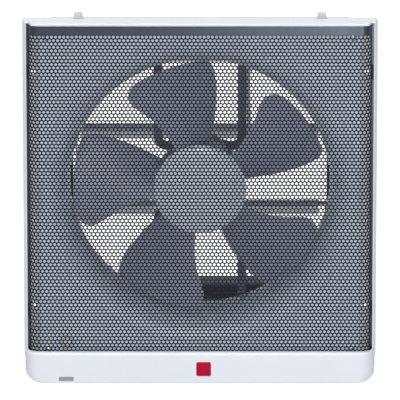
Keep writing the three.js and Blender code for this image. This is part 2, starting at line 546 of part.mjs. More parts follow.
// A louvre hangs from its pivot at y = 0, z = 0 when shut, and is then swung open.
function louvre(z, rightPin) {
  const { chord, halfWidth, sheet, roll, lip, pin, open, pivotY } = LOUVRE;
  const panel = sideways(outline([
    [-sheet / 2, 0], [sheet / 2, 0], [sheet / 2, -chord + sheet], [lip, -chord + sheet], [lip, -chord], [-sheet / 2, -chord],
  ]), -halfWidth, halfWidth);
  const tube = rodX(0, 0, roll, -halfWidth, halfWidth, 16);
  const linkY = LINK.radius * Math.sin(LINK.angle * DEG);
  const linkZ = -LINK.radius * Math.cos(LINK.angle * DEG);
  const lug = sideways(outline([[-sheet / 2, 0], [linkY + 3.4, linkZ + 2], [linkY + 3.4, linkZ - 3.4], [linkY - 1, linkZ - 4.4], [-sheet / 2, linkZ - 8]]), -halfWidth, -halfWidth + LINK.lug);
  const pins = [
    rodX(0, 0, pin, -SHUTTER.halfWidth - SHUTTER.wall - 1.5, -halfWidth + 1),
    rodX(0, 0, pin, halfWidth - 1, rightPin),
    rodX(linkY, linkZ, LINK.pin, LINK.x - LINK.thickness, -halfWidth + 1),
  ];
  return union(panel, tube, lug, pins).rotate([open, 0, 0]).translate([0, pivotY, z]);
}

['top', 'mid', 'low'].forEach((place, i) => {
  const reach = SHUTTER.halfWidth + SHUTTER.wall + (place === 'mid' ? 6 : 1.5);
  add(`louvre_${place}`, louvre(PIVOTS[i], reach), 'plate');
});

{
  const a = (LINK.angle + LOUVRE.open) * DEG;
  const y = LOUVRE.pivotY + LINK.radius * Math.sin(a);
  const pins = PIVOTS.map((z) => z - LINK.radius * Math.cos(a));
  const [x0, x1] = [LINK.x - LINK.thickness / 2, LINK.x + LINK.thickness / 2];
  const bar = sideways(rounded(y - LINK.halfWidth, y + LINK.halfWidth, pins[2] - 6, pins[0] + 6, 2.5), x0, x1);
  const holes = pins.map((z) => rodX(y, z, LINK.pin + PLAY * 2, x0 - 1, x1 + 1, 16));
  add('tie_bar', cut(bar, holes), 'zinc');
}

// ---------------------------------------------------------------- cover

// Plan of the front frame: straight sides with a draft, then a rounded or cut corner.
function plan(depth, corner, steps, inset = 0) {
  const back = COVER.halfWidth - inset;
  const side = COVER.halfWidth - COVER.draft - inset;
  const r = Math.max(corner - inset, 1);
  const y = -(depth - inset);
  const right = [[back, 0]];
  for (let k = 0; k <= steps; k += 1) {
    const a = ((90 * k) / steps) * DEG;
    right.push([side - r + r * Math.cos(a), y + r - r * Math.sin(a)]);
  }
  return outline([...right, ...right.map(([x, v]) => [-x, v]).reverse()]);
}

{
  const { top, bottom, wall, halfWidth, rimDepth, draft, cornerRadius, lowCorner } = COVER;
  const slotHalf = HOOK.base / 2 + 1.2;
  const barPlan = outline([
    [halfWidth, 0], [halfWidth - draft, -TOP_BAR.cutY], [halfWidth - TOP_BAR.cut, -TOP_BAR.depth],
    [TOP_BAR.cut - halfWidth, -TOP_BAR.depth], [-halfWidth + draft, -TOP_BAR.cutY], [-halfWidth, 0],
  ]);
  const bar = upright(barPlan, top - TOP_BAR.thickness, top);
  const slots = SIDES.map(([, s]) => block(s * HOOK.x - slotHalf, s * HOOK.x + slotHalf, -TOP_BAR.slotDepth, 1, top - TOP_BAR.thickness - 1, top + 1));
  const rims = [1, -1].map((s) => upright(outline([
    [s * RIM_INNER, 0], [s * halfWidth, 0], [s * (halfWidth - draft), -rimDepth], [s * RIM_INNER, -rimDepth],
  ]), bottom, top));
  const fascia = cut(
    upright(plan(FASCIA.depth, FASCIA.cornerRadius, 5), bottom, FASCIA_TOP),
    common(
      upright(plan(FASCIA.depth, FASCIA.cornerRadius, 5, wall), bottom + wall, FASCIA_TOP - wall),
      facing(rounded(wall - halfWidth, halfWidth - wall, bottom + wall, FASCIA_TOP, lowCorner - wall, [0, 0, 1, 1]), -FASCIA.depth, 1)),
    block(-RIM_INNER, RIM_INNER, SHEET.front - FIT, 1, FASCIA_TOP - wall - 1, FASCIA_TOP + 1),
    block(-halfWidth, halfWidth, 0, 1, bottom, FASCIA_TOP));
  const topRail = block(-SHEET_FLAT, SHEET_FLAT, SHEET_BACK, SHEET_BACK + RAIL.thickness, top - TOP_BAR.thickness - RAIL.height, top - TOP_BAR.thickness / 2);
  const lowRail = union(
    block(-SHEET_FLAT, SHEET_FLAT, SHEET_BACK, SHEET_BACK + RAIL.thickness, FASCIA_TOP - wall - RAIL.height, FASCIA_TOP - wall),
    block(-RIM_INNER - 1, RIM_INNER + 1, SHEET_BACK, SHEET_BACK + RAIL.thickness, FASCIA_TOP - wall - RAIL.height, SHEET.bottom - FIT));
  const envelope = facing(rounded(-halfWidth, halfWidth, bottom, top, 1, [cornerRadius, cornerRadius, lowCorner, lowCorner]), -FASCIA.depth - 1, 1);
  const notch = facing(rounded(NOTCH.x - NOTCH.width / 2, NOTCH.x + NOTCH.width / 2, bottom - 5, bottom + NOTCH.height, NOTCH.radius), -FASCIA.depth - 1, -FASCIA.depth + NOTCH.depth);
  add('cover_frame', cut(common(union(bar, rims, fascia, topRail, lowRail), envelope), slots, notch), 'white');

  const leaf = CATCH.y;
  const lipBottom = FLANGE.bottom - FIT - 0.1;
  for (const [side, s] of SIDES) {
    const x = s * CATCH.x;
    add(`cover_catch_${side}`, union(
      block(x - CATCH.half, x + CATCH.half, leaf - CATCH.thickness / 2, leaf + CATCH.thickness / 2, bottom + wall, lipBottom),
      block(x - CATCH.half, x + CATCH.half, leaf - CATCH.pad / 2, leaf + CATCH.pad / 2, lipBottom - 1.6, lipBottom)), 'white');
  }
  const badgeZ = (FASCIA_TOP + bottom) / 2 - BADGE.drop;
  add('badge_plate', facing(rounded(
    BADGE.x - BADGE.size / 2, BADGE.x + BADGE.size / 2, badgeZ - BADGE.size / 2, badgeZ + BADGE.size / 2, 0.8),
  -FASCIA.depth - BADGE.thickness, -FASCIA.depth), 'red');
}

{
  const sheet = rounded(-SHEET_FLAT, SHEET_FLAT, SHEET.bottom, SHEET.top, 0.01, [0, 0, 0, 0]);
  const rowStep = (MESH.pitch * Math.sqrt(3)) / 2;
  const clear = MESH.hole / 2 + MESH.margin;
  const across = Math.floor((2 * (SHEET_FLAT - clear)) / MESH.pitch) + 1;
  const high = SHEET.top - SHEET.strip - MESH.hole / 2;
  const low = FASCIA_TOP + clear;
  const rows = Math.floor((high - low) / rowStep) + 1;
  for (let j = 0; j < rows; j += 1) {
    const columns = across - (j % 2);
    for (let i = 0; i < columns; i += 1) {
      const x = (i - (columns - 1) / 2) * MESH.pitch;
      const z = high - j * rowStep;
      const hole = new THREE.Path();
      for (let k = 0; k < 6; k += 1) {
        const a = (60 * k + 30) * DEG;
        const point = [x + (MESH.hole / 2) * Math.cos(a), z + (MESH.hole / 2) * Math.sin(a)];
        if (k) hole.lineTo(...point); else hole.moveTo(...point);
      }
      hole.closePath();
      sheet.holes.push(hole);
    }
  }
  const flat = facing(sheet, SHEET.front, SHEET_BACK);
  const flank = (s) => {
    const outer = [];
    const inner = [];
    for (let k = 0; k <= 5; k += 1) {
      const a = (90 - 18 * k) * DEG;
      outer.push([s * (SHEET_FLAT + SHEET.roll * Math.cos(a)), SHEET.front + SHEET.roll - SHEET.roll * Math.sin(a)]);
      const r = SHEET.roll - SHEET.thickness;
      inner.unshift([s * (SHEET_FLAT + r * Math.cos(a)), SHEET.front + SHEET.roll - r * Math.sin(a)]);
    }
    return upright(outline([
      [s * (SHEET_FLAT - 1), SHEET.front], ...outer, [s * SHEET_SIDE, SHEET.rear], [s * (RIM_INNER - FIT), SHEET.rear],
      [s * (RIM_INNER - FIT), SHEET.rear + SHEET.thickness], [s * (SHEET_SIDE - SHEET.thickness), SHEET.rear + SHEET.thickness],
      ...inner, [s * (SHEET_FLAT - 1), SHEET_BACK],
    ]), SHEET.bottom, SHEET.top);
  };
  add('grille_sheet', union(flat, flank(1), flank(-1)), 'mesh');

  let count = 0;
  for (const z of [CLIP.z, -CLIP.z]) {
    for (const s of [-1, 1]) {
      count += 1;
      const xs = [s * SHEET_SIDE, s * RIM_INNER].sort((a, b) => a - b);
      add(`sheet_clip_${count}`, block(...xs, SHEET.front + SHEET.roll, SHEET.rear, z - CLIP.half, z + CLIP.half), 'mesh');
    }
  }
}

export default group;
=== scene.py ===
"""Looks of a window exhaust fan: mesh cover, propeller, motor and rear shutter.

Sizes are written in millimetres in the part's own frame (X right, Y into the
wall, Z up) and turned into metres where a mesh is made. The studio alone is in
metres.
"""

from __future__ import annotations

import logging
import math
from dataclasses import dataclass, field
from enum import Enum
from typing import Callable, Iterable, Sequence

import bmesh
import bpy
import numpy as np
from mathutils import Matrix, Vector

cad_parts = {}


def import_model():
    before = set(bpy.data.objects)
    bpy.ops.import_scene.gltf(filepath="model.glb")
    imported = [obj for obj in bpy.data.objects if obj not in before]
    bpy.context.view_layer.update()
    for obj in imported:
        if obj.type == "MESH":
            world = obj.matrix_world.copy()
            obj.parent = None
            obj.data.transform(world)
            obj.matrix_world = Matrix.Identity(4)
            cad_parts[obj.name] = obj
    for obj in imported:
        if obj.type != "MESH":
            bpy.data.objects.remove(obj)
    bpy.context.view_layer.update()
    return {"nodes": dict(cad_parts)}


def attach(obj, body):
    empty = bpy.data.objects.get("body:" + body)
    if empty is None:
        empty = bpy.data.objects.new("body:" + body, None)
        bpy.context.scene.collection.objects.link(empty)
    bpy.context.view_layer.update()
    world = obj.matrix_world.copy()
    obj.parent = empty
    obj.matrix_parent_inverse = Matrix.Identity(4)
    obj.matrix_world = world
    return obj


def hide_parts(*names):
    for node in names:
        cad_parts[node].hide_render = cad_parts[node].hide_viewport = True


LOG = logging.getLogger("exhaust_fan")
MM = 0.001
SHARP = 32.0  # an edge that turns by more degrees shades as sharp
CURVED_SHARP = 40.0  # the same for the blades and the punched sheet
EASED = 40.0  # an edge that turns by more degrees is eased
STRAIGHT = 172.0  # a corner that is opener than this isn't rounded
SIDE_SHARE = 0.48  # the most that a fillet takes of a side
WELD = 1e-7  # points nearer than this, in metres, are one
KEPT_WELD = 1e-6  # the same for a kept node
TINY = 1e-9
HEAVY = 40000  # faces above which a piece goes without even shading

Triple = tuple[float, float, float]
Point = Triple
Pair = tuple[float, float]
Ring = list[Point]
Rgb = Triple
Place = tuple[float, float, float, float, int]
Placer = Callable[[float, float, float], Point]
Piece = bpy.types.Object
Socket = bpy.types.NodeSocket
Node = bpy.types.Node
Tree = bpy.types.NodeTree


class Body(str, Enum):
    """The rigid bodies that a piece can ride on."""

    HOUSING = "housing"
    ROTOR = "rotor"
    COVER = "cover"
    LOUVRE_TOP = "louvre_top"
    LOUVRE_MID = "louvre_mid"
    LOUVRE_LOW = "louvre_low"
    TIE_BAR = "tie_bar"


class Slot(str, Enum):
    """The material slots of the record."""

    WHITE_PLASTIC = "white_plastic"
    WHITE_STEEL = "white_steel"
    PALE_STEEL = "pale_steel"
    PALE_ALUMINIUM = "pale_aluminium"
    DARK_STEEL = "dark_steel"
    MESH_STEEL = "mesh_steel"
    ZINC_STEEL = "zinc_steel"
    BARE_STEEL = "bare_steel"
    COPPER_WIRE = "copper_wire"
    BLADE_PLASTIC = "blade_plastic"
    SPINNER_PLASTIC = "spinner_plastic"
    RED_PLASTIC = "red_plastic"
    BLACK_PLASTIC = "black_plastic"
    GREY_RUBBER = "grey_rubber"
    LEAD_SLEEVE = "lead_sleeve"


class Cut(str, Enum):
    """How a tool solid changes the piece that it meets."""

    AWAY = "DIFFERENCE"
    KEEP = "INTERSECT"


# --------------------------------------------------------------- finishes


def linear(value: float) -> float:
    """Returns a display value as the linear value that shaders use."""
    return value / 12.92 if value <= 0.04045 else ((value + 0.055) / 1.055) ** 2.4


def tint(red: float, green: float, blue: float) -> tuple[float, float, float, float]:
    """Returns a display colour as a linear RGBA tuple."""
    return (linear(red), linear(green), linear(blue), 1.0)


class NodeTree:
    """A thin layer over a node tree that makes and links nodes briefly."""

    # The mix node's colour sockets, which share their names with its others.
    COLOUR_A = 6
    COLOUR_B = 7
    COLOUR_RESULT = 2

    def __init__(self, tree: Tree) -> None:
        """Keeps the tree.

        Args:
            tree: The node tree to write to.
        """
        self.tree = tree

    def node(self, kind: str, **values: object) -> Node:
        """Makes a node.

        Args:
            kind: The node's type, such as ShaderNodeTexNoise.
            **values: Attributes of the node to set.

        Returns:
            The new node.
        """
        made = self.tree.nodes.new(kind)
        for name, value in values.items():
            setattr(made, name, value)
        return made

    def link(self, source: Socket, target: Socket) -> None:
        """Links an output socket to an input socket."""
        self.tree.links.new(source, target)

    def feed(self, value: Socket | float | Sequence[float], target: Socket) -> None:
        """Links a socket to an input, or sets the input to a constant.

        Args:
            value: A socket, a number or a colour.
            target: The input socket.
        """
        if isinstance(value, Socket):
            self.link(value, target)
        else:
            target.default_value = value

    def effect(self, tree: Tree, **values: float) -> Node:
        """Places a shared group with its own values.

        Args:
            tree: The group's node tree.
            **values: The inputs to set, with _ for a space.

        Returns:
            The group's node.
        """
        made = self.node("ShaderNodeGroup", node_tree=tree)
        for name, value in values.items():
            made.inputs[name.replace("_", " ")].default_value = value
        return made

    def noise(self, where: Socket, scale: Socket | float, detail: float) -> Socket:
        """Makes a noise texture.

        Args:
            where: The vector socket to sample at.
            scale: Features per metre, a number or a socket.
            detail: Octaves of the noise.

        Returns:
            The noise's factor socket.
        """
        made = self.node("ShaderNodeTexNoise")
        made.inputs["Detail"].default_value = detail
        self.link(where, made.inputs["Vector"])
        self.feed(scale, made.inputs["Scale"])
        return made.outputs["Fac"]

    def spread(
        self,
        source: Socket,
        low: float | Socket,
        high: float | Socket,
        from_low: float = 0.0,
        from_high: float = 1.0,
    ) -> Socket:
        """Maps a value from one range to another, clamped.

        Args:
            source: The value socket.
            low: The result at the low end, a number or a socket.
            high: The result at the high end, a number or a socket.
            from_low: The low end of the source.
            from_high: The high end of the source.

        Returns:
            The mapped value's socket.
        """
        made = self.node("ShaderNodeMapRange")
        self.link(source, made.inputs["Value"])
        made.inputs["From Min"].default_value = from_low
        made.inputs["From Max"].default_value = from_high
        self.feed(low, made.inputs["To Min"])
        self.feed(high, made.inputs["To Max"])
        return made.outputs["Result"]

    def math(self, operation: str, a: Socket, b: Socket | float) -> Socket:
        """Makes a math node.

        Args:
            operation: The node's operation.
            a: The first value's socket.
            b: The second value, a number or a socket.

        Returns:
            The result's socket.
        """
        made = self.node("ShaderNodeMath", operation=operation)
        self.link(a, made.inputs[0])
        self.feed(b, made.inputs[1])
        return made.outputs["Value"]

    def mix(
        self,
        factor: Socket,
        first: Socket | Sequence[float],
        second: Socket | Sequence[float],
    ) -> Socket:
        """Mixes two colours, each a socket or a constant.

        Args:
            factor: The share of the second colour.
            first: The colour at 0.
            second: The colour at 1.

        Returns:
            The mixed colour's socket.
        """
        made = self.node("ShaderNodeMix", data_type="RGBA")
        self.link(factor, made.inputs["Factor"])
        self.feed(first, made.inputs[self.COLOUR_A])
        self.feed(second, made.inputs[self.COLOUR_B])
        return made.outputs[self.COLOUR_RESULT]


def emptied(owner: bpy.types.Material | bpy.types.World) -> NodeTree:
    """Empties a material's or a world's node tree.

    Args:
        owner: What the tree belongs to.

    Returns:
        The empty tree, wrapped.
    """
    owner.use_nodes = True
    owner.node_tree.nodes.clear()
    return NodeTree(owner.node_tree)


@dataclass
class EffectLibrary:
    """The shader node groups that several finishes share."""

    cloud_scale: float = 38.0
    fine_share: float = 0.35
    grain_range: Pair = (0.3, 0.7)
    drift_range: Pair = (0.32, 0.68)
    upward_range: Pair = (0.15, 0.95)
    patch_range: Pair = (0.35, 0.65)
    least_dust: float = 0.25
    line_squeeze: float = 0.05

    def __post_init__(self) -> None:
        """Builds each group once."""
        self.grain = self._build_grain()
        self.drift = self._build_drift()
        self.dust = self._build_dust()
        self.brush = self._build_brush()
        self.shade_edge = self._build_shade_edge()

    @staticmethod
    def _group(name: str, inputs: dict[str, float], outputs: Iterable[str]) -> tuple[NodeTree, Node, Node]:
        """Makes a group with its sockets and its two end nodes.

        Args:
            name: The group's name.
            inputs: The name and the default of each input.
            outputs: The name of each output.

        Returns:
            The group's tree, wrapped, its input node and its output node.
        """
        tree = bpy.data.node_groups.new(name, "ShaderNodeTree")
        for label, default in inputs.items():
            socket = tree.interface.new_socket(name=label, in_out="INPUT", socket_type="NodeSocketFloat")
            socket.default_value = default
        for label in outputs:
            tree.interface.new_socket(name=label, in_out="OUTPUT", socket_type="NodeSocketFloat")
        nt = NodeTree(tree)
        return nt, nt.node("NodeGroupInput"), nt.node("NodeGroupOutput")

    def _build_grain(self) -> Tree:
        """Builds the moulded or sprayed surface grain: a height and a varying roughness.

        Returns:
            The group's node tree.
        """
        inputs = {"Scale": 900.0, "Roughness Low": 0.4, "Roughness High": 0.5}
        nt, inside, result = self._group("Surface grain", inputs, ("Height", "Roughness"))
        where = nt.node("ShaderNodeTexCoord").outputs["Object"]
        fine = nt.noise(where, inside.outputs["Scale"], detail=3.0)
        coarse = nt.noise(where, self.cloud_scale, detail=4.0)
        nt.link(fine, result.inputs["Height"])
        fine = nt.math("MULTIPLY", fine, self.fine_share)
        blend = nt.math("ADD", fine, nt.math("MULTIPLY", coarse, 1 - self.fine_share))
        low, high = inside.outputs["Roughness Low"], inside.outputs["Roughness High"]
        nt.link(nt.spread(blend, low, high, *self.grain_range), result.inputs["Roughness"])
        return nt.tree

    def _build_drift(self) -> Tree:
        """Builds the slow drift of tone across a surface: a mask around a half.

        Returns:
            The group's node tree.
        """
        nt, inside, result = self._group("Tone drift", {"Scale": 9.0, "Amount": 0.5}, ("Mask",))
        where = nt.node("ShaderNodeTexCoord").outputs["Object"]
        cloud = nt.noise(where, inside.outputs["Scale"], detail=5.0)
        spread = nt.spread(cloud, 0.0, 1.0, *self.drift_range)
        nt.link(nt.math("MULTIPLY", spread, inside.outputs["Amount"]), result.inputs["Mask"])
        return nt.tree

    def _build_dust(self) -> Tree:
        """Builds the film of dust that lies on upward faces: a mask.

        Returns:
            The group's node tree.
        """
        nt, inside, result = self._group("Dust film", {"Upward": 0.5, "Patches": 30.0}, ("Mask",))
        geometry = nt.node("ShaderNodeNewGeometry")
        split = nt.node("ShaderNodeSeparateXYZ")
        nt.link(geometry.outputs["Normal"], split.inputs["Vector"])
        up = nt.spread(split.outputs["Z"], 0.0, 1.0, *self.upward_range)
        where = nt.node("ShaderNodeTexCoord").outputs["Object"]
        cloud = nt.noise(where, inside.outputs["Patches"], detail=6.0)
        patch = nt.spread(cloud, self.least_dust, 1.0, *self.patch_range)
        film = nt.math("MULTIPLY", up, patch)
        nt.link(nt.math("MULTIPLY", film, inside.outputs["Upward"]), result.inputs["Mask"])
        return nt.tree

    def _build_brush(self) -> Tree:
        """Builds the fine drawn lines and spangle of plated or turned steel.

        Returns:
            The group's node tree.
        """
        inputs = {"Lines": 700.0, "Spangle": 160.0}
        nt, inside, result = self._group("Drawn metal", inputs, ("Height", "Mask"))
        where = nt.node("ShaderNodeTexCoord").outputs["Object"]
        stretch = nt.node("ShaderNodeMapping")
        stretch.inputs["Scale"].default_value = (1.0, self.line_squeeze, 1.0)
        nt.link(where, stretch.inputs["Vector"])
        lines = nt.noise(stretch.outputs["Vector"], inside.outputs["Lines"], detail=2.0)
        cells = nt.node("ShaderNodeTexVoronoi")
        nt.link(where, cells.inputs["Vector"])
        nt.link(inside.outputs["Spangle"], cells.inputs["Scale"])
        shade = nt.node("ShaderNodeSeparateColor")
        nt.link(cells.outputs["Color"], shade.inputs["Color"])
        nt.link(lines, result.inputs["Height"])
        nt.link(shade.outputs["Red"], result.inputs["Mask"])
        return nt.tree

    def _build_shade_edge(self) -> Tree:
        """Builds a mask that rises from 0 to 1 past an outer edge of a square piece, where a colour of
        painted shade gives way to the piece's own pale colour.

        Returns:
            The group's node tree.
        """
        nt, inside, result = self._group("Painted shade edge", {"Start": 0.134, "End": 0.142}, ("Mask",))
        split = nt.node("ShaderNodeSeparateXYZ")
        nt.link(nt.node("ShaderNodeTexCoord").outputs["Object"], split.inputs["Vector"])
        across, along = (nt.math("ABSOLUTE", split.outputs[axis], 0.0) for axis in "XZ")
        far = nt.math("MAXIMUM", across, along)
        past = nt.math("SUBTRACT", far, inside.outputs["Start"])
        length = nt.math("SUBTRACT", inside.outputs["End"], inside.outputs["Start"])
        nt.link(nt.spread(nt.math("DIVIDE", past, length), 0.0, 1.0), result.inputs["Mask"])
        return nt.tree


@dataclass(frozen=True)
class Finish:
    """A surface finish: colours, gloss, grain and dust, and for a piece darkened with painted shade the outer
    edge past which it keeps its own colour.
    """

    label: str
    slot: Slot
    colour: Rgb
    shade: Rgb
    gloss: Pair = (0.4, 0.5)
    metal: float = 0.0
    coat: float = 0.0
    grain: float = 1400.0
    relief: float = 0.00002
    drift: float = 0.6
    drift_scale: float = 9.0
    dust: float = 0.0
    spangle: float = 0.0
    spangle_lift: float = 1.12
    specular: float = 0.5
    coat_gloss: float = 0.12
    bump: float = 0.6
    # where painted shade ends, how wide it blends, and the piece's own colour beyond it
    shade_ends_at: float = 0.0
    shade_blend: float = 0.006
    unshaded_colour: Rgb = (0.86, 0.875, 0.90)
    dust_colour: Rgb = (0.66, 0.64, 0.61)

    def material(self, effects: EffectLibrary) -> bpy.types.Material:
        """Builds the material once and returns it.

        Args:
            effects: The shared node groups.

        Returns:
            The finished material.
        """
        existing = bpy.data.materials.get(self.label)
        if existing is not None:
            return existing
        made = bpy.data.materials.new(self.label)
        nt = emptied(made)
        shader = nt.node("ShaderNodeBsdfPrincipled")
        output = nt.node("ShaderNodeOutputMaterial")
        nt.link(shader.outputs["BSDF"], output.inputs["Surface"])
        shader.inputs["Metallic"].default_value = self.metal
        shader.inputs["Coat Weight"].default_value = self.coat
        shader.inputs["Coat Roughness"].default_value = self.coat_gloss
        shader.inputs["Specular IOR Level"].default_value = self.specular

        drift = nt.effect(effects.drift, Scale=self.drift_scale, Amount=self.drift)
        colour = nt.mix(drift.outputs["Mask"], tint(*self.colour), tint(*self.shade))

        low, high = self.gloss
        grain = nt.effect(effects.grain, Scale=self.grain, Roughness_Low=low, Roughness_High=high)
        height = grain.outputs["Height"]

        if self.spangle:
            brush = nt.effect(effects.brush)
            lighter = tuple(min(1.0, value * self.spangle_lift) for value in tint(*self.colour)[:3]) + (1.0,)
            share = nt.math("MULTIPLY", brush.outputs["Mask"], self.spangle)
            colour = nt.mix(share, colour, lighter)
            height = nt.math("ADD", height, brush.outputs["Height"])
        # painted shade: past an outer edge the piece's own pale colour replaces the shaded colour
        if self.shade_ends_at:
            shade_edge = nt.effect(effects.shade_edge, Start=self.shade_ends_at, End=self.shade_ends_at + self.shade_blend)
            colour = nt.mix(shade_edge.outputs["Mask"], colour, tint(*self.unshaded_colour))
        if self.dust:
            film = nt.effect(effects.dust, Upward=self.dust)
            colour = nt.mix(film.outputs["Mask"], colour, tint(*self.dust_colour))

        bump = nt.node("ShaderNodeBump")
        bump.inputs["Strength"].default_value = self.bump
        bump.inputs["Distance"].default_value = self.relief
        nt.link(height, bump.inputs["Height"])
        nt.link(colour, shader.inputs["Base Color"])
        nt.link(grain.outputs["Roughness"], shader.inputs["Roughness"])
        nt.link(bump.outputs["Normal"], shader.inputs["Normal"])
        return made


@dataclass(frozen=True)
class FinishSet:
    """Every finish of the fan."""

    cover: Finish = Finish(
        "white cover plastic", Slot.WHITE_PLASTIC, (0.88, 0.90, 0.93), (0.86, 0.88, 0.915), gloss=(0.3, 0.38),
        grain=1800.0, relief=0.000015, dust=0.05,
    )
    sleeve: Finish = Finish(
        "white sleeve plastic", Slot.WHITE_PLASTIC, (0.86, 0.875, 0.90), (0.83, 0.845, 0.87),
        gloss=(0.42, 0.52), grain=1500.0, relief=0.00003, dust=0.16,
    )
    hook: Finish = Finish(
        "white painted hook", Slot.WHITE_STEEL, (0.82, 0.835, 0.86), (0.79, 0.805, 0.84), gloss=(0.35, 0.45),
        dust=0.1,
    )
    plate: Finish = Finish(
        "pale grey sprayed steel", Slot.PALE_STEEL, (0.895, 0.93, 0.99), (0.875, 0.91, 0.975),
        gloss=(0.3, 0.42), grain=1100.0, relief=0.00003, dust=0.1,
    )
    louvre: Finish = Finish(
        "pale grey sprayed sheet", Slot.PALE_ALUMINIUM, (0.74, 0.765, 0.81), (0.70, 0.73, 0.775),
        gloss=(0.34, 0.46), grain=1100.0, relief=0.00003, dust=0.22,
    )
    bracket: Finish = Finish(
        "dark sprayed strap steel", Slot.DARK_STEEL, (0.38, 0.395, 0.44), (0.34, 0.355, 0.40),
        gloss=(0.36, 0.5), dust=0.1,
    )
    # painted shade: the dark colour stands in for the shade inside the duct; past 136 mm from the axis, where
    # the rear flange shows round the cover, the frame keeps its own pale colour
    frame: Finish = Finish(
        "frame steel darkened with painted shade", Slot.DARK_STEEL, (0.17, 0.18, 0.20), (0.14, 0.15, 0.17),
        gloss=(0.4, 0.52), dust=0.12, shade_ends_at=0.136,
    )
    sheet: Finish = Finish(
        "dark blue-grey lacquered sheet", Slot.MESH_STEEL, (0.165, 0.185, 0.235), (0.15, 0.17, 0.22),
        gloss=(0.22, 0.27), metal=0.6, grain=1500.0, relief=0.00001, drift=0.5,
    )
    # painted shade: the same lacquered sheet as the strip above, set darker and less glossy so that the webs
    # between the holes read darker
    mesh: Finish = Finish(
        "dark blue-grey punched sheet", Slot.MESH_STEEL, (0.085, 0.11, 0.155), (0.075, 0.098, 0.142),
        gloss=(0.36, 0.44), metal=0.5, grain=1500.0, relief=0.00001, drift=0.5, specular=0.16,
    )
    zinc: Finish = Finish(
        "zinc plated steel", Slot.ZINC_STEEL, (0.74, 0.75, 0.77), (0.66, 0.67, 0.70), gloss=(0.28, 0.4),
        metal=0.85, grain=900.0, spangle=0.6, dust=0.08,
    )
    steel: Finish = Finish(
        "bare turned steel", Slot.BARE_STEEL, (0.58, 0.585, 0.60), (0.5, 0.5, 0.52), gloss=(0.24, 0.36),
        metal=0.95, spangle=0.3,
    )
    copper: Finish = Finish(
        "lacquered winding wire", Slot.COPPER_WIRE, (0.66, 0.38, 0.2), (0.52, 0.27, 0.13), gloss=(0.3, 0.42),
        metal=0.7,
    )
    blade: Finish = Finish(
        "grey propeller plastic", Slot.BLADE_PLASTIC, (0.67, 0.69, 0.77), (0.64, 0.66, 0.745),
        gloss=(0.34, 0.44), grain=1000.0, relief=0.00003, dust=0.1,
    )
    spinner: Finish = Finish(
        "light grey spinner plastic", Slot.SPINNER_PLASTIC, (0.91, 0.94, 0.985), (0.88, 0.91, 0.96),
        gloss=(0.34, 0.42), coat=0.1, grain=1300.0, relief=0.00001,
    )
    badge: Finish = Finish(
        "red badge plastic", Slot.RED_PLASTIC, (0.72, 0.0, 0.19), (0.66, 0.0, 0.17), gloss=(0.3, 0.38),
        relief=0.000008, specular=0.08,
    )
    badge_rim: Finish = Finish(
        "deep red badge rim", Slot.RED_PLASTIC, (0.68, 0.0, 0.18), (0.62, 0.0, 0.16), gloss=(0.3, 0.38),
        relief=0.000008, specular=0.12,
    )
    black: Finish = Finish(
        "black moulded plastic", Slot.BLACK_PLASTIC, (0.13, 0.135, 0.145), (0.10, 0.105, 0.115),
        gloss=(0.4, 0.55), grain=1200.0, relief=0.00005, dust=0.25,
    )
    rubber: Finish = Finish(
        "pale grey bush rubber", Slot.GREY_RUBBER, (0.80, 0.80, 0.82), (0.76, 0.76, 0.785), gloss=(0.6, 0.75),
        relief=0.00005, dust=0.15,
    )
    lead: Finish = Finish(
        "pale lead sleeving", Slot.LEAD_SLEEVE, (0.85, 0.855, 0.86), (0.80, 0.805, 0.81), gloss=(0.45, 0.6),
        grain=1800.0, relief=0.00006,
    )


# --------------------------------------------------------------- mesh tools


def put(name: str, data: bpy.types.ID) -> Piece:
    """Makes an object of a mesh, a lamp or a camera.

    Args:
        name: The object's name.
        data: What it shows.

    Returns:
        The linked object.
    """
    made = bpy.data.objects.new(name, data)
    bpy.context.scene.collection.objects.link(made)
    return made


def new_piece(
    name: str, points: Sequence[Point] | np.ndarray, faces: Sequence[Sequence[int]], sharp: float = SHARP
) -> Piece:
    """Makes an object from points in millimetres.

    Args:
        name: The piece's name.
        points: The vertices in millimetres.
        faces: The faces as lists of vertex numbers.
        sharp: Edges that turn by more than this many degrees shade as sharp.

    Returns:
        The linked object.
    """
    mesh = bpy.data.meshes.new(name)
    scaled = (np.asarray(points, dtype=float) * MM).tolist()
    mesh.from_pydata(scaled, [], [list(face) for face in faces])
    mesh.validate()
    made = put(name, mesh)
    tidy_mesh(mesh, sharp)
    return made


def shade(mesh: bpy.types.Mesh, sharp: float) -> None:
    """Shades a mesh smooth, apart from its sharp edges.

    Args:
        mesh: The mesh.
        sharp: The angle in degrees.
    """
    mesh.polygons.foreach_set("use_smooth", [True] * len(mesh.polygons))
    mesh.set_sharp_from_angle(angle=math.radians(sharp))
    mesh.update()


def tidy_mesh(mesh: bpy.types.Mesh, sharp: float) -> None:
    """Welds, turns the faces outward and sets the shading of a mesh.

    Args:
        mesh: The mesh to tidy.
        sharp: Edges that turn by more than this many degrees shade as sharp.
    """
    work = bmesh.new()
    work.from_mesh(mesh)
    bmesh.ops.remove_doubles(work, verts=work.verts, dist=WELD)
    bmesh.ops.dissolve_degenerate(work, edges=work.edges, dist=WELD)
    bmesh.ops.delete(work, geom=[edge for edge in work.edges if not edge.link_faces], context="EDGES")
    bmesh.ops.recalc_face_normals(work, faces=work.faces)
    work.to_mesh(mesh)
    work.free()
    shade(mesh, sharp)


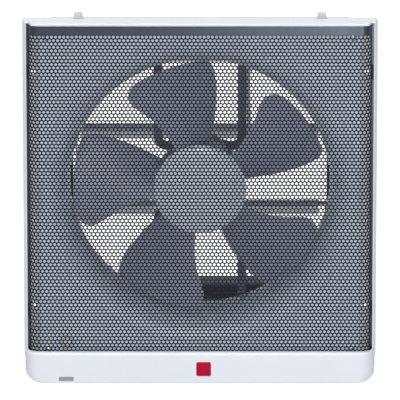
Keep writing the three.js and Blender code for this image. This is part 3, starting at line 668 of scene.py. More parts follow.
def loft(
    rings: Sequence[Ring], closed: bool = True, capped: bool = True, looped: bool = False
) -> tuple[list[Point], list[list[int]]]:
    """Joins rings of equal length into a skin.

    Args:
        rings: The rings, in order.
        closed: Whether each ring closes on itself.
        capped: Whether the first and last rings are filled.
        looped: Whether the last ring joins the first.

    Returns:
        The points and the faces.
    """
    count = len(rings[0])
    points = [point for ring in rings for point in ring]
    faces: list[list[int]] = []
    steps = len(rings) if looped else len(rings) - 1
    for i in range(steps):
        a, b = i * count, ((i + 1) % len(rings)) * count
        for k in range(count if closed else count - 1):
            n = (k + 1) % count
            faces.append([a + k, a + n, b + n, b + k])
    if capped and not looped:
        faces.append(list(range(count))[::-1])
        last = (len(rings) - 1) * count
        faces.append([last + k for k in range(count)])
    return points, faces


def turned(
    name: str, profile: Sequence[Pair], sides: int = 96, at: Pair = (0.0, 0.0), sharp: float = SHARP
) -> Piece:
    """Turns a closed profile of (radius, y) about a line along Y.

    Args:
        name: The piece's name.
        profile: The closed profile, in order.
        sides: Steps round the turn.
        at: The line's x and z.
        sharp: The sharp edge angle in degrees.

    Returns:
        The turned object.
    """
    rings: list[Ring] = []
    for i in range(sides):
        a = 2 * math.pi * i / sides
        rings.append([(at[0] + r * math.cos(a), y, at[1] + r * math.sin(a)) for r, y in profile])
    return new_piece(name, *loft(rings, looped=True, capped=False), sharp=sharp)


def rounded_profile(points: Sequence[Pair], radius: float, steps: int = 4) -> list[Pair]:
    """Rounds the corners of a closed outline.

    Args:
        points: The corners, in order.
        radius: The fillet's radius, cut down where a side is short.
        steps: Steps in each fillet.

    Returns:
        The outline with its corners rounded.
    """
    out: list[Pair] = []
    count = len(points)
    for i in range(count):
        here, before, after = (Vector(points[j % count]) for j in (i, i - 1, i + 1))
        to_before, to_after = before - here, after - here
        if min(to_before.length, to_after.length) < TINY:
            out.append(tuple(here))
            continue
        angle = to_before.angle(to_after)
        if angle > math.radians(STRAIGHT) or radius <= 0:
            out.append(tuple(here))
            continue
        reach = min(radius / math.tan(angle / 2), SIDE_SHARE * to_before.length, SIDE_SHARE * to_after.length)
        start = here + to_before.normalized() * reach
        end = here + to_after.normalized() * reach
        for k in range(steps + 1):
            t = k / steps
            spot = start * (1 - t) ** 2 + here * 2 * t * (1 - t) + end * t**2
            out.append((spot.x, spot.y))
    return out


def ease_edges(
    piece: Piece, width: float, steps: int = 2, angle: float = EASED, sharp: float = SHARP
) -> None:
    """Rounds the sharp edges of a piece a little.

    Args:
        piece: The piece to change.
        width: The width of the rounding in millimetres.
        steps: Steps of the rounding.
        angle: Edges that turn by more than this many degrees are rounded.
        sharp: The sharp edge angle in degrees.
    """
    work = bmesh.new()
    work.from_mesh(piece.data)
    limit = math.radians(angle)
    edges = [edge for edge in work.edges if len(edge.link_faces) == 2 and edge.calc_face_angle(0.0) > limit]
    bmesh.ops.bevel(
        work, geom=edges, offset=width * MM, segments=steps, profile=0.5, affect="EDGES", clamp_overlap=True
    )
    work.to_mesh(piece.data)
    work.free()
    shade(piece.data, sharp)


def prism(
    name: str, outline: Sequence[Pair], place: Placer, low: float, high: float, ease: float = 0.4
) -> Piece:
    """Extrudes an outline and eases its sharp edges.

    Args:
        name: The piece's name.
        outline: The closed outline.
        place: Turns (a, b, depth) into a point.
        low: Where the extrusion starts.
        high: Where it ends.
        ease: The rounding of the sharp edges.

    Returns:
        The extruded object.
    """
    rings = [[place(a, b, depth) for a, b in outline] for depth in (low, high)]
    made = new_piece(name, *loft(rings))
    if ease > 0:
        ease_edges(made, ease)
    return made


def facing(a: float, b: float, depth: float) -> Point:
    """Places an outline of (x, z) at a depth y."""
    return (a, depth, b)


def sideways(a: float, b: float, depth: float) -> Point:
    """Places an outline of (y, z) at a width x."""
    return (depth, a, b)


def upright(a: float, b: float, depth: float) -> Point:
    """Places an outline of (x, y) at a height z."""
    return (a, b, depth)


def spun(turn: float) -> Placer:
    """Makes a placer that turns an outline about the fan's axis.

    Args:
        turn: The turn in radians.

    Returns:
        A function that turns (along, across, y) into a point.
    """
    c, s = math.cos(turn), math.sin(turn)
    return lambda along, across, y: (along * c - across * s, y, along * s + across * c)


def arc(centre: Pair, radius: float, start: float, sweep: float, steps: int) -> list[Pair]:
    """Steps along an arc, with both its ends.

    Args:
        centre: The arc's centre.
        radius: Its radius.
        start: Where it starts, in degrees.
        sweep: How far it turns, in degrees.
        steps: Steps along it.

    Returns:
        The points.
    """
    turns = [math.radians(start + sweep * k / steps) for k in range(steps + 1)]
    return [(centre[0] + radius * math.cos(a), centre[1] + radius * math.sin(a)) for a in turns]


def circle(centre: Pair, radius: float, sides: int) -> list[Pair]:
    """Returns a circle's outline."""
    return arc(centre, radius, 0, 360, sides)[:-1]


def rounded_rect(x0: float, x1: float, z0: float, z1: float, radius: float, steps: int = 6) -> list[Pair]:
    """Outlines a rectangle with round corners.

    Args:
        x0: The left side.
        x1: The right side.
        z0: The lower side.
        z1: The upper side.
        radius: The corners' radius.
        steps: Steps in each corner.

    Returns:
        The outline.
    """
    path: list[Pair] = []
    left, right, low, high = x0 + radius, x1 - radius, z0 + radius, z1 - radius
    for turn, centre in enumerate(((right, high), (left, high), (left, low), (right, low))):
        path += arc(centre, radius, 90 * turn, 90, steps)
    return path


def carve(piece: Piece, tool: Piece, cut: Cut, sharp: float = SHARP) -> None:
    """Cuts a piece by a tool solid, which is then deleted.

    Args:
        piece: The piece to change.
        tool: The tool.
        cut: Whether the tool's space is taken away or kept.
        sharp: The sharp edge angle in degrees.
    """
    modifier = piece.modifiers.new("cut", "BOOLEAN")
    modifier.operation = cut.value
    modifier.solver = "EXACT"
    modifier.object = tool
    graph = bpy.context.evaluated_depsgraph_get()
    mesh = bpy.data.meshes.new_from_object(piece.evaluated_get(graph))
    piece.modifiers.clear()
    old = piece.data
    piece.data = mesh
    mesh.name = piece.name
    bpy.data.meshes.remove(old)
    bpy.data.objects.remove(tool)
    shade(mesh, sharp)


def join(name: str, parts: Sequence[Piece], sharp: float = SHARP) -> Piece:
    """Joins several objects into one piece.

    Args:
        name: The new piece's name.
        parts: The objects, which are used up.
        sharp: The sharp edge angle in degrees.

    Returns:
        The joined object.
    """
    work = bmesh.new()
    for part in parts:
        work.from_mesh(part.data)
        bpy.data.objects.remove(part)
    mesh = bpy.data.meshes.new(name)
    work.to_mesh(mesh)
    work.free()
    shade(mesh, sharp)
    return put(name, mesh)


def tube(name: str, path: Sequence[Point], radius: float, sides: int = 14) -> Piece:
    """Runs a round tube along a path, with both ends filled.

    Args:
        name: The piece's name.
        path: The points of the centre line.
        radius: The tube's radius.
        sides: Points round the tube.

    Returns:
        The tube.
    """
    spots = [Vector(p) for p in path]
    rings: list[Ring] = []
    side = Vector((0.0, 0.0, 1.0))
    for i, spot in enumerate(spots):
        ahead = (spots[min(i + 1, len(spots) - 1)] - spots[max(i - 1, 0)]).normalized()
        side = (side - ahead * side.dot(ahead)).normalized()
        other = ahead.cross(side)
        rings.append(
            [
                tuple(spot + (side * math.cos(a) + other * math.sin(a)) * radius)
                for a in (2 * math.pi * k / sides for k in range(sides))
            ]
        )
    return new_piece(name, *loft(rings))


@dataclass
class Workshop:
    """Dresses pieces and hangs them on their bodies."""

    effects: EffectLibrary
    finishes: FinishSet
    nodes: dict[str, Piece]

    def dress(self, piece: Piece, finish: Finish, body: Body, replaces: Sequence[str] = ()) -> Piece:
        """Gives a new piece its finish and body.

        Args:
            piece: The piece.
            finish: Its finish.
            body: The body that it rides on.
            replaces: The CAD nodes that it stands for.

        Returns:
            The piece.
        """
        piece.data.materials.clear()
        piece.data.materials.append(finish.material(self.effects))
        if len(piece.data.polygons) < HEAVY:
            piece.modifiers.new("even shading", "WEIGHTED_NORMAL").keep_sharp = True
        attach(piece, body.value)
        if replaces:
            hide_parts(*replaces)
        LOG.info("%s on %s, %s", piece.name, body.value, finish.label)
        return piece

    def keep(self, node: str, finish: Finish, ease: float = 0.5) -> None:
        """Keeps a CAD node, with its edges eased and a better material.

        Args:
            node: The node's name.
            finish: Its finish.
            ease: The width of the eased edges in millimetres.
        """
        made = self.nodes[node]
        made.modifiers.new("weld", "WELD").merge_threshold = KEPT_WELD
        if ease:
            bevel = made.modifiers.new("ease", "BEVEL")
            bevel.width = ease * MM
            bevel.segments = 2
            bevel.limit_method = "ANGLE"
            bevel.angle_limit = math.radians(EASED)
        material = finish.material(self.effects)
        if not made.material_slots:
            made.data.materials.append(material)
        for place in made.material_slots:
            place.material = material
        LOG.info("kept %s, %s", node, finish.label)


# --------------------------------------------------------------- cover


@dataclass
class CoverFrame:
    """The moulded frame of the cover: rims, top bar, lower fascia and badge."""

    half_width: float = 174.0
    top: float = 175.0
    bottom: float = -195.6
    corner: float = 4.0
    rim_depth: float = 12.0
    rim_draft: float = 0.7
    rim_wall: float = 3.8
    rim_land: float = 0.5
    rim_inner_draft: float = 0.1
    rim_overlap: float = 8.0
    edge_round: float = 0.42
    side_stations: tuple[float, ...] = (-90.0, 0.0, 90.0)
    bar_depth: float = 20.5
    bar_wall: float = 2.4
    bar_flat: float = 164.8
    bar_slope: float = 2.37
    bar_draft: float = 0.4
    bar_land: float = 0.4
    bar_bevel: float = 0.5
    bar_stations: tuple[float, ...] = (169.2, 168.4, 167.2, 166.0, 164.9, 164.6, 120.0, 60.0, 0.0)
    rim_bevel: float = 3.0
    fascia_top: float = -163.0
    fascia_half: float = 173.2
    fascia_depth: float = 25.0
    fascia_corner: float = 12.0
    fascia_fillet: float = 2.6
    fascia_draft: float = 0.7
    fascia_lap: Pair = (0.3, 4.5)
    roof_ease: float = 1.6
    low_corner: float = 12.0
    low_ease: float = 2.2
    least_ease: float = 0.8
    wall: float = 2.2
    sheet_front: float = -19.5
    sheet_flat: float = 160.0
    slot_x: float = 119.0
    slot_half: float = 6.2
    slot_depth: float = 4.5
    slot_reach: Pair = (6.0, 3.0)
    notch: Triple = (-132.3, 14.8, 7.6)
    notch_depth: float = 3.0
    notch_corner: float = 1.2
    rail_half: float = 160.0
    rail_height: float = 8.6
    rail_gap: float = 1.2
    rail_thickness: float = 2.0
    rib_x: tuple[float, ...] = (-98.0, -50.0, 50.0, 98.0, 146.0)
    rib_half: float = 0.8
    rib_reach: Triple = (-23.4, -16.6, -1.5)
    badge_at: Pair = (3.55, -179.9)
    badge_size: float = 14.5
    badge_height: float = 0.8
    badge_border: float = 0.75
    badge_corner: float = 0.7

    def build(self, shop: Workshop) -> None:
        """Builds and dresses every piece of the frame.

        Args:
            shop: The workshop that dresses the pieces.
        """
        look = shop.finishes
        moulding = join("cover_frame_moulding", [self._rim(), self._fascia(), *self._rails()])
        shop.dress(moulding, look.cover, Body.COVER, ["cover_frame"])
        shop.dress(self._badge_face(), look.badge, Body.COVER, ["badge_plate"])
        shop.dress(self._badge_rim(), look.badge_rim, Body.COVER)
        for side in ("left", "right"):
            shop.keep(f"cover_catch_{side}", look.cover, 0.4)

    def _depth_at(self, x: float) -> float:
        """Returns how deep the rim is at a distance from the middle."""
        depth = self.bar_depth - (abs(x) - self.bar_flat) * self.bar_slope
        return min(self.bar_depth, max(self.rim_depth, depth))

    def _rim(self) -> Piece:
        """Sweeps the side rims and top bar as one section round the cover.

        Returns:
            The rim with its two hook slots.
        """
        r = self.corner
        steps = 8
        low = self.fascia_top - self.rim_overlap
        path: list[tuple[float, float, float, float]] = [
            (self.half_width, z, 1.0, 0.0) for z in (low, *self.side_stations)
        ]
        for k in range(steps + 1):
            a = math.radians(90 * k / steps)
            nx, nz = math.cos(a), math.sin(a)
            path.append((self.half_width - r + r * nx, self.top - r + r * nz, nx, nz))
        path += [(x, self.top, 0.0, 1.0) for x in self.bar_stations]
        path += [(-x, z, -nx, nz) for x, z, nx, nz in reversed(path[:-1])]
        rings: list[Ring] = []
        for x, z, nx, nz in path:
            depth = self._depth_at(x)
            wide, high = abs(nx) ** 2, abs(nz) ** 2
            wall = self.rim_wall * wide + self.bar_wall * high
            draft = self.rim_draft * wide + self.bar_draft * high
            bevel = self.rim_bevel * wide + self.bar_bevel * high
            across = (wall - draft - self.rim_land) * wide + self.bar_land * high
            inside = wall + self.rim_inner_draft
            corners = [
                (0.0, 0.0), (draft, bevel - depth), (draft + across, -depth), (inside, -depth), (wall, 0.0)
            ]
            section = rounded_profile(corners, self.edge_round, 3)
            rings.append([(x - nx * s, y, z - nz * s) for s, y in section])
        made = new_piece("rim", *loft(rings))
        below, above = self.slot_reach
        for side in (-1, 1):
            x = side * self.slot_x
            slot = rounded_rect(
                x - self.slot_half, x + self.slot_half, self.top - below, self.top + above, 0.2, 1
            )
            carve(made, prism("slot", slot, facing, -self.slot_depth, 2.0, 0.0), Cut.AWAY)
        return made

    def _plan(self, sides: float, front: float, back: float) -> list[Pair]:
        """Outlines the fascia from above.

        Args:
            sides: How far its sides are drawn in.
            front: How far its front is drawn in.
            back: Where its open rear lies.

        Returns:
            The outline as (x, y).
        """
        side_back = self.fascia_half - sides
        side = side_back - self.fascia_draft
        y = front - self.fascia_depth
        r = max(self.fascia_corner - front, 1.0)
        inward, lap = self.fascia_lap
        right: list[Pair] = [(side_back, back), (side_back - inward, -lap), (side + 0.1, y + r + 1.5)]
        steps = 12
        for k in range(steps + 1):
            a = math.radians(90 * k / steps)
            right.append((side - r + r * math.cos(a), y + r - r * math.sin(a)))
        return right + [(-x, v) for x, v in reversed(right)]

    def _foot(self, wall: float) -> list[Triple]:
        """Lists the levels of the fascia's rounded foot, inside a wall's thickness.

        Args:
            wall: The wall's thickness, or 0 for the outside.

        Returns:
            The height of each level and how far its sides and front are drawn in.
        """
        r = self.low_corner - wall
        ease = max(self.low_ease - wall, self.least_ease)
        out: list[Triple] = []
        steps = 14
        for k in range(steps + 1):
            a = math.radians(90 * k / steps)
            h = r * (1 - math.sin(a))
            front = ease - math.sqrt(max(0.0, ease**2 - (ease - h) ** 2)) if h < ease else 0.0
            out.append((self.bottom + wall + h, wall + r * (1 - math.cos(a)), wall + front))
        return out

    def _fascia(self) -> Piece:
        """Lofts the lower fascia, hollows it and cuts its notch.

        Returns:
            The hollow fascia.
        """
        levels: list[Triple] = []
        steps, side_share = 7, 0.35
        for k in range(steps + 1):
            a = math.radians(90 * k / steps)
            inset = self.fascia_fillet * (1 - math.sin(a))
            levels.append(
                (self.fascia_top - self.fascia_fillet * (1 - math.cos(a)), inset * side_share, inset)
            )
        made = self._stack("fascia", levels + self._foot(0.0), 0.0)
        roof = self.fascia_top - self.wall
        eased = self.wall + self.roof_ease
        inner = [(roof, eased, eased), (roof - self.roof_ease, self.wall, self.wall), *self._foot(self.wall)]
        carve(made, self._stack("hollow", inner, 2.0), Cut.AWAY)
        half = self.half_width - self.rim_wall
        corner = half - self.sheet_flat
        gap = rounded_rect(-half, half, self.sheet_front - 0.3, corner + 4.0, corner, 10)
        carve(made, prism("gap", gap, upright, roof - 1.0, self.fascia_top + 1.0, 0.0), Cut.AWAY)
        x, width, height = self.notch
        opening = rounded_rect(
            x - width / 2, x + width / 2, self.bottom - 5.0, self.bottom + height, self.notch_corner, 4
        )
        front = -self.fascia_depth
        carve(made, prism("notch", opening, facing, front - 1.0, front + self.notch_depth, 0.0), Cut.AWAY)
        return made

    def _stack(self, name: str, levels: Iterable[Triple], back: float) -> Piece:
        """Lofts the fascia's plan through a stack of levels.

        Args:
            name: The piece's name.
            levels: The height of each level and how far its sides and front are drawn in.
            back: Where the open rear lies.

        Returns:
            The lofted block.
        """
        rings = [[(x, y, z) for x, y in self._plan(sides, front, back)] for z, sides, front in levels]
        return new_piece(name, *loft(rings))

    def _rails(self) -> list[Piece]:
        """Makes the two rails behind the mesh and the stiffening ribs in the fascia.

        Returns:
            The rails and ribs.
        """
        out: list[Piece] = []
        near = self.sheet_front + self.rail_gap
        far = near + self.rail_thickness
        under_bar, roof = self.top - self.bar_wall, self.fascia_top - self.wall
        height, half = self.rail_height, self.rail_half
        for low, high in ((under_bar - height, self.top - self.bar_wall / 2), (roof - height, roof)):
            rail = rounded_rect(-half, half, low, high, 0.4, 2)
            out.append(prism("rail", rail, facing, near, far, 0.3))
        front, middle, rear = self.rib_reach
        floor, head = self.bottom + 1.4, self.fascia_top - 3.0
        shape = [
            (front, floor), (rear, floor), (rear, floor + 4.6), (middle, head - 8.5), (middle, head),
            (front, head),
        ]
        for x in self.rib_x:
            out.append(prism("rib", shape, sideways, x - self.rib_half, x + self.rib_half, 0.2))
        return out

    def _badge_face(self) -> Piece:
        """Makes the plain red face of the badge.

        Returns:
            The face.
        """
        x, z = self.badge_at
        half = self.badge_size / 2 - self.badge_border
        outline = rounded_rect(x - half, x + half, z - half, z + half, self.badge_corner)
        front = -self.fascia_depth
        return prism("badge_face", outline, facing, front - self.badge_height, front + 0.1, 0.25)

    def _badge_rim(self) -> Piece:
        """Makes the thin raised rim round the badge.

        Returns:
            The rim.
        """
        x, z = self.badge_at
        outer = self.badge_size / 2
        inner = outer - self.badge_border
        section = [
            (outer, 0.0), (outer, 0.35), (outer - 0.2, 0.55), (inner + 0.1, 0.55), (inner, 0.4), (inner, 0.0)
        ]
        rings: list[Ring] = []
        for h, rise in section:
            outline = rounded_rect(x - h, x + h, z - h, z + h, 0.8 + h - outer + self.badge_border)
            rings.append([(a, -self.fascia_depth - rise, b) for a, b in outline])
        return new_piece("badge_rim", *loft(rings, looped=True))


@dataclass
class MeshSheet:
    """The perforated steel sheet that is bent round the front of the cover."""

    pitch: float = 4.03
    hole: float = 3.0
    front: float = -19.5
    thickness: float = 0.6
    flat_half: float = 160.0
    roll: float = 8.0
    rear: float = -8.0
    top: float = 171.4
    bottom: float = -169.6
    strip: float = 9.2
    lip: float = 2.1
    lip_fold: float = 1.5
    lip_rear: float = 0.55
    lip_gap: float = 0.05
    bands: tuple[str, ...] = ("upper", "middle", "lower")
    margin: float = 0.5
    trim: float = 0.02
    grid: float = 500.0
    least_area: float = 1e-4
    corners: int = 6
    rows_above: int = 4

    def build(self, shop: Workshop) -> None:
        """Builds the sheet in bands, since one mesh of it is too heavy.

        Args:
            shop: The workshop that dresses the pieces.
        """
        cells = self._cells()
        strip, cells = cells[cells[:, 2] < 0], cells[cells[:, 2] >= 0]
        rows = cells[:, 2]
        edges = np.linspace(rows.min(), rows.max() + 1, len(self.bands) + 1)
        for i, band in enumerate(self.bands):
            chosen = cells[(rows >= edges[i]) & (rows < edges[i + 1])]
            piece = self._band(f"grille_sheet_{band}", chosen)
            shop.dress(piece, shop.finishes.mesh, Body.COVER, ["grille_sheet"])
        shop.dress(self._band("grille_sheet_strip", strip), shop.finishes.sheet, Body.COVER)
        for side, s in (("left", -1), ("right", 1)):
            shop.dress(self._lip(f"grille_lip_{side}", s), shop.finishes.sheet, Body.COVER)

    def _lip(self, name: str, s: int) -> Piece:
        """Folds the sheet's outward lip that closes the gap to the rim.

        Args:
            name: The piece's name.
            s: -1 for the left lip and 1 for the right one.

        Returns:
            The lip.
        """
        gap = self.lip_gap
        out = self.flat_half + self.roll - gap
        inside, past = out - self.thickness + 0.1, out + self.lip
        start, back = self.rear - self.lip_fold, self.rear + self.lip_rear
        fold = [(inside, start), (out, start), (out, self.rear - 0.5), (out + 0.3, self.rear - gap)]
        shape = [*fold, (past, self.rear - gap), (past, back), (inside, back)]
        return prism(name, [(s * x, v) for x, v in shape], upright, self.bottom, self.top, 0.0)

    @property
    def reach(self) -> float:
        """Half the sheet's width before it is bent."""
        return self.flat_half + math.pi / 2 * self.roll + (self.rear - self.front - self.roll)

    def _cells(self) -> np.ndarray:
        """Lists the six-sided cells of the sheet.

        Returns:
            Rows of (u, z, row number, whether it has a hole).
        """
        step = self.pitch * math.sqrt(3) / 2
        corner = self.pitch / math.sqrt(3)
        first = self.top - self.strip - self.hole / 2
        out: list[tuple[float, float, float, float]] = []
        columns = int(self.reach / self.pitch) + 2
        for j in range(-self.rows_above, int((first - self.bottom) / step) + 3):
            z = first - j * step
            if z - corner > self.top - self.trim or z + corner < self.bottom + self.trim:
                continue
            for i in range(-columns, columns + 1):
                u = (i + 0.5 * (j % 2)) * self.pitch
                if abs(u) - self.pitch / 2 > self.reach - self.trim:
                    continue
                rim = self.hole / 2 + self.margin
                holed = j >= 0 and abs(u) + rim < self.reach and z - rim > self.bottom
                out.append((u, z, float(j), float(holed)))
        return np.array(out)

    def _hexagon(self) -> np.ndarray:
        """Returns the corners of one cell round its middle."""
        turn = np.radians(30 + 60 * np.arange(self.corners))
        return self.pitch / math.sqrt(3) * np.stack([np.cos(turn), np.sin(turn)], axis=1)

    def _holed_cell(self) -> tuple[np.ndarray, list[tuple[int, int, int]]]:
        """Makes the pattern of a cell with a round hole.

        Returns:
            The corners with the hole's points after them, and the triangles.
        """
        n = self.corners
        turn = np.radians(30 * np.arange(2 * n))
        edge = self.hole / 2 * np.stack([np.cos(turn), np.sin(turn)], axis=1)
        triangles: list[tuple[int, int, int]] = []
        for k in range(n):
            here, middle, after = (n + (2 * k + step) % (2 * n) for step in (1, 2, 3))
            following = (k + 1) % n
            triangles += [(k, following, middle), (here, k, middle), (middle, following, after)]
        return np.vstack([self._hexagon(), edge]), triangles

    def _plain_cell(self) -> tuple[np.ndarray, list[tuple[int, int, int]]]:
        """Makes the pattern of a cell without a hole.

        Returns:
            The corners with the middle after them, and the triangles.
        """
        n = self.corners
        return np.vstack([self._hexagon(), [[0.0, 0.0]]]), [(n, k, (k + 1) % n) for k in range(n)]

    def _band(self, name: str, cells: np.ndarray) -> Piece:
        """Builds one closed band of the sheet.

        Args:
            name: The piece's name.
            cells: The band's cells.

        Returns:
            The band.
        """
        points, faces, start = [], [], 0
        for holed, (local, pattern) in ((1.0, self._holed_cell()), (0.0, self._plain_cell())):
            chosen = cells[cells[:, 3] == holed][:, :2]
            spots = (chosen[:, None, :] + local[None, :, :]).reshape(-1, 2)
            offsets = start + np.arange(len(chosen)) * len(local)
            faces.append((offsets[:, None, None] + np.array(pattern)[None, :, :]).reshape(-1, 3))
            points.append(spots)
            start += len(spots)
        flat = np.vstack(points)
        flat[:, 0] = np.clip(flat[:, 0], -self.reach, self.reach)
        flat[:, 1] = np.clip(flat[:, 1], self.bottom, self.top)
        triangles = np.vstack(faces)
        _, index, inverse = np.unique(
            np.round(flat * self.grid).astype(np.int64), axis=0, return_index=True, return_inverse=True
        )
        flat = flat[index]
        triangles = inverse.reshape(-1)[triangles]
        a, b, c = (flat[triangles[:, k]] for k in range(3))
        area = (b[:, 0] - a[:, 0]) * (c[:, 1] - a[:, 1]) - (b[:, 1] - a[:, 1]) * (c[:, 0] - a[:, 0])
        triangles = triangles[area > self.least_area]
        count = len(flat)
        edges = np.vstack([triangles[:, [0, 1]], triangles[:, [1, 2]], triangles[:, [2, 0]]])
        key = edges[:, 0] * count + edges[:, 1]
        open_edges = edges[~np.isin(key, edges[:, 1] * count + edges[:, 0])]
        p, q = open_edges[:, 0], open_edges[:, 1]
        walls = np.vstack([np.stack([q, p, p + count], axis=1), np.stack([q, p + count, q + count], axis=1)])
        everything = np.vstack([triangles, triangles[:, ::-1] + count, walls])
        front, back = self._bend(flat)
        return self._triangle_piece(name, np.vstack([front, back]), everything)

    def _bend(self, flat: np.ndarray) -> tuple[np.ndarray, np.ndarray]:
        """Bends points of the flat sheet round the cover.

        Args:
            flat: Points (u, z) in the flat sheet.

        Returns:
            The points on the front and on the back of the sheet.
        """
        side = np.sign(flat[:, 0])
        past = np.abs(flat[:, 0]) - self.flat_half
        quarter = math.pi / 2 * self.roll
        angle = np.clip(past, 0.0, quarter) / self.roll
        straight = np.maximum(past - quarter, 0.0)
        x = np.where(past > 0, self.flat_half + self.roll * np.sin(angle), np.abs(flat[:, 0])) * side
        y = self.front + self.roll * (1 - np.cos(angle)) + straight
        normal = np.stack([np.sin(angle) * side, -np.cos(angle), np.zeros_like(x)], axis=1)
        front = np.stack([x, y, flat[:, 1]], axis=1)
        return front, front - normal * self.thickness

    @staticmethod
    def _triangle_piece(name: str, points: np.ndarray, triangles: np.ndarray) -> Piece:
        """Makes an object of triangles from arrays.

        Args:
            name: The piece's name.
            points: The vertices in millimetres.
            triangles: The vertex numbers of each triangle.

        Returns:
            The linked object.
        """
        used, inverse = np.unique(triangles, return_inverse=True)
        points, triangles = points[used] * MM, inverse.reshape(-1, 3)
        mesh = bpy.data.meshes.new(name)
        mesh.vertices.add(len(points))
        mesh.vertices.foreach_set("co", points.astype(np.float32).ravel())
        mesh.loops.add(3 * len(triangles))
        mesh.loops.foreach_set("vertex_index", triangles.astype(np.int32).ravel())
        mesh.polygons.add(len(triangles))
        mesh.polygons.foreach_set("loop_start", (3 * np.arange(len(triangles))).astype(np.int32))
        mesh.update(calc_edges=True)
        mesh.polygons.foreach_set("use_smooth", [True] * len(triangles))
        mesh.set_sharp_from_angle(angle=math.radians(CURVED_SHARP))
        return put(name, mesh)


# --------------------------------------------------------------- housing


@dataclass
class OrificePlate:
    """The sprayed plate behind the mesh, with its bell mouth and throat."""

    half_width: float = 158.0
    top: float = 166.0
    bottom: float = -172.0
    front: float = -11.0
    wall: float = 1.6
    skirt_rear: float = -2.5
    rim_radius: float = 155.0
    throat_radius: float = 128.0
    curve_end: float = 22.0
    rear: float = 33.5
    flange_radius: float = 140.0
    bead: float = 0.9
    bead_outer: float = 157.0
    bead_width: float = 3.0
    bead_steps: int = 6
    edge: float = 1.0
    lip: float = 1.4
    inner_ease: float = 0.6
    corner_power: float = 60.0
    steps: int = 22
    sides: int = 192
    corner_steps: tuple[float, ...] = (-0.012, -0.008, -0.004, 0.0, 0.004, 0.008, 0.012)

    def build(self, shop: Workshop) -> None:
        """Lofts the plate as rings that turn from round to square.

        Args:
            shop: The workshop that dresses the pieces.
        """
        rings: list[Ring] = []
        outside = ((0.0, self.skirt_rear - self.front), (0.0, self.edge), (0.3, 0.3), (self.edge, 0.0))
        for inset, behind in outside:
            rings.append(self._square(inset, self.front + behind))
        for k in range(self.bead_steps + 1):
            t = k / self.bead_steps
            rise = self.bead * math.sin(math.pi * t)
            rings.append(self._round(self.bead_outer - self.bead_width * t, self.front - rise))
        rings += [self._round(*self._bell(90 * (1 - k / self.steps), 0.0)) for k in range(3, self.steps + 1)]
        r, end, lip = self.throat_radius, self.rear, self.lip
        inside = end - self.wall
        section = [
            (r, end - lip), (r + 0.4, end - 0.4), (r + lip, end), (self.flange_radius, end),
            (self.flange_radius, inside), (r + 3.0, inside), (r + self.wall, inside - lip),
        ]
        rings += [self._round(radius, y) for radius, y in section]
        rings += [
            self._round(*self._bell(90 * k / self.steps, self.wall)) for k in range(0, self.steps + 1, 2)
        ]
        back = self.front + self.wall
        for inset, y in ((self.inner_ease, back), (0.0, back + self.inner_ease), (0.0, self.skirt_rear)):
            rings.append(self._square(self.wall + inset, y))
        pressing = new_piece("orifice_plate_pressing", *loft(rings, looped=True))
        shop.dress(pressing, shop.finishes.plate, Body.HOUSING, ["orifice_plate"])

    def _angles(self) -> list[float]:
        """Lists the angles of the rings' points, closer together at the corners.

        Returns:
            The angles in radians, in order.
        """
        angles = {math.radians(360 / self.sides * k) for k in range(self.sides)}
        for x in (-self.half_width, self.half_width):
            for z in (self.bottom, self.top):
                middle = math.atan2(z, x)
                angles.update((middle + step) % (2 * math.pi) for step in self.corner_steps)
        return sorted(angles)

    def _round(self, radius: float, y: float) -> Ring:
        """Returns a round ring."""
        return [(radius * math.cos(a), y, radius * math.sin(a)) for a in self._angles()]

    def _square(self, inset: float, y: float) -> Ring:
        """Makes a ring along the plate's edge, eased at the corners.

        Args:
            inset: How far the ring is drawn in.
            y: Its depth.

        Returns:
            The ring.
        """
        ring: Ring = []
        for a in self._angles():
            c, s = math.cos(a), math.sin(a)
            wide = (self.half_width - inset) / max(abs(c), TINY)
            high = ((self.top if s > 0 else -self.bottom) - inset) / max(abs(s), TINY)
            power = self.corner_power
            reach = (wide**-power + high**-power) ** (-1 / power)
            ring.append((reach * c, y, reach * s))
        return ring

    def _bell(self, angle: float, offset: float) -> Pair:
        """Finds a point of the bell mouth's curve.

        Args:
            angle: The angle along the curve, in degrees.
            offset: How far behind the front face.

        Returns:
            The radius and the depth.
        """
        t = math.radians(angle)
        r = self.rim_radius - (self.rim_radius - self.throat_radius) * math.cos(t)
        y = self.curve_end - (self.curve_end - self.front) * math.sin(t)
        return (r + offset * math.cos(t), y + offset * math.sin(t))


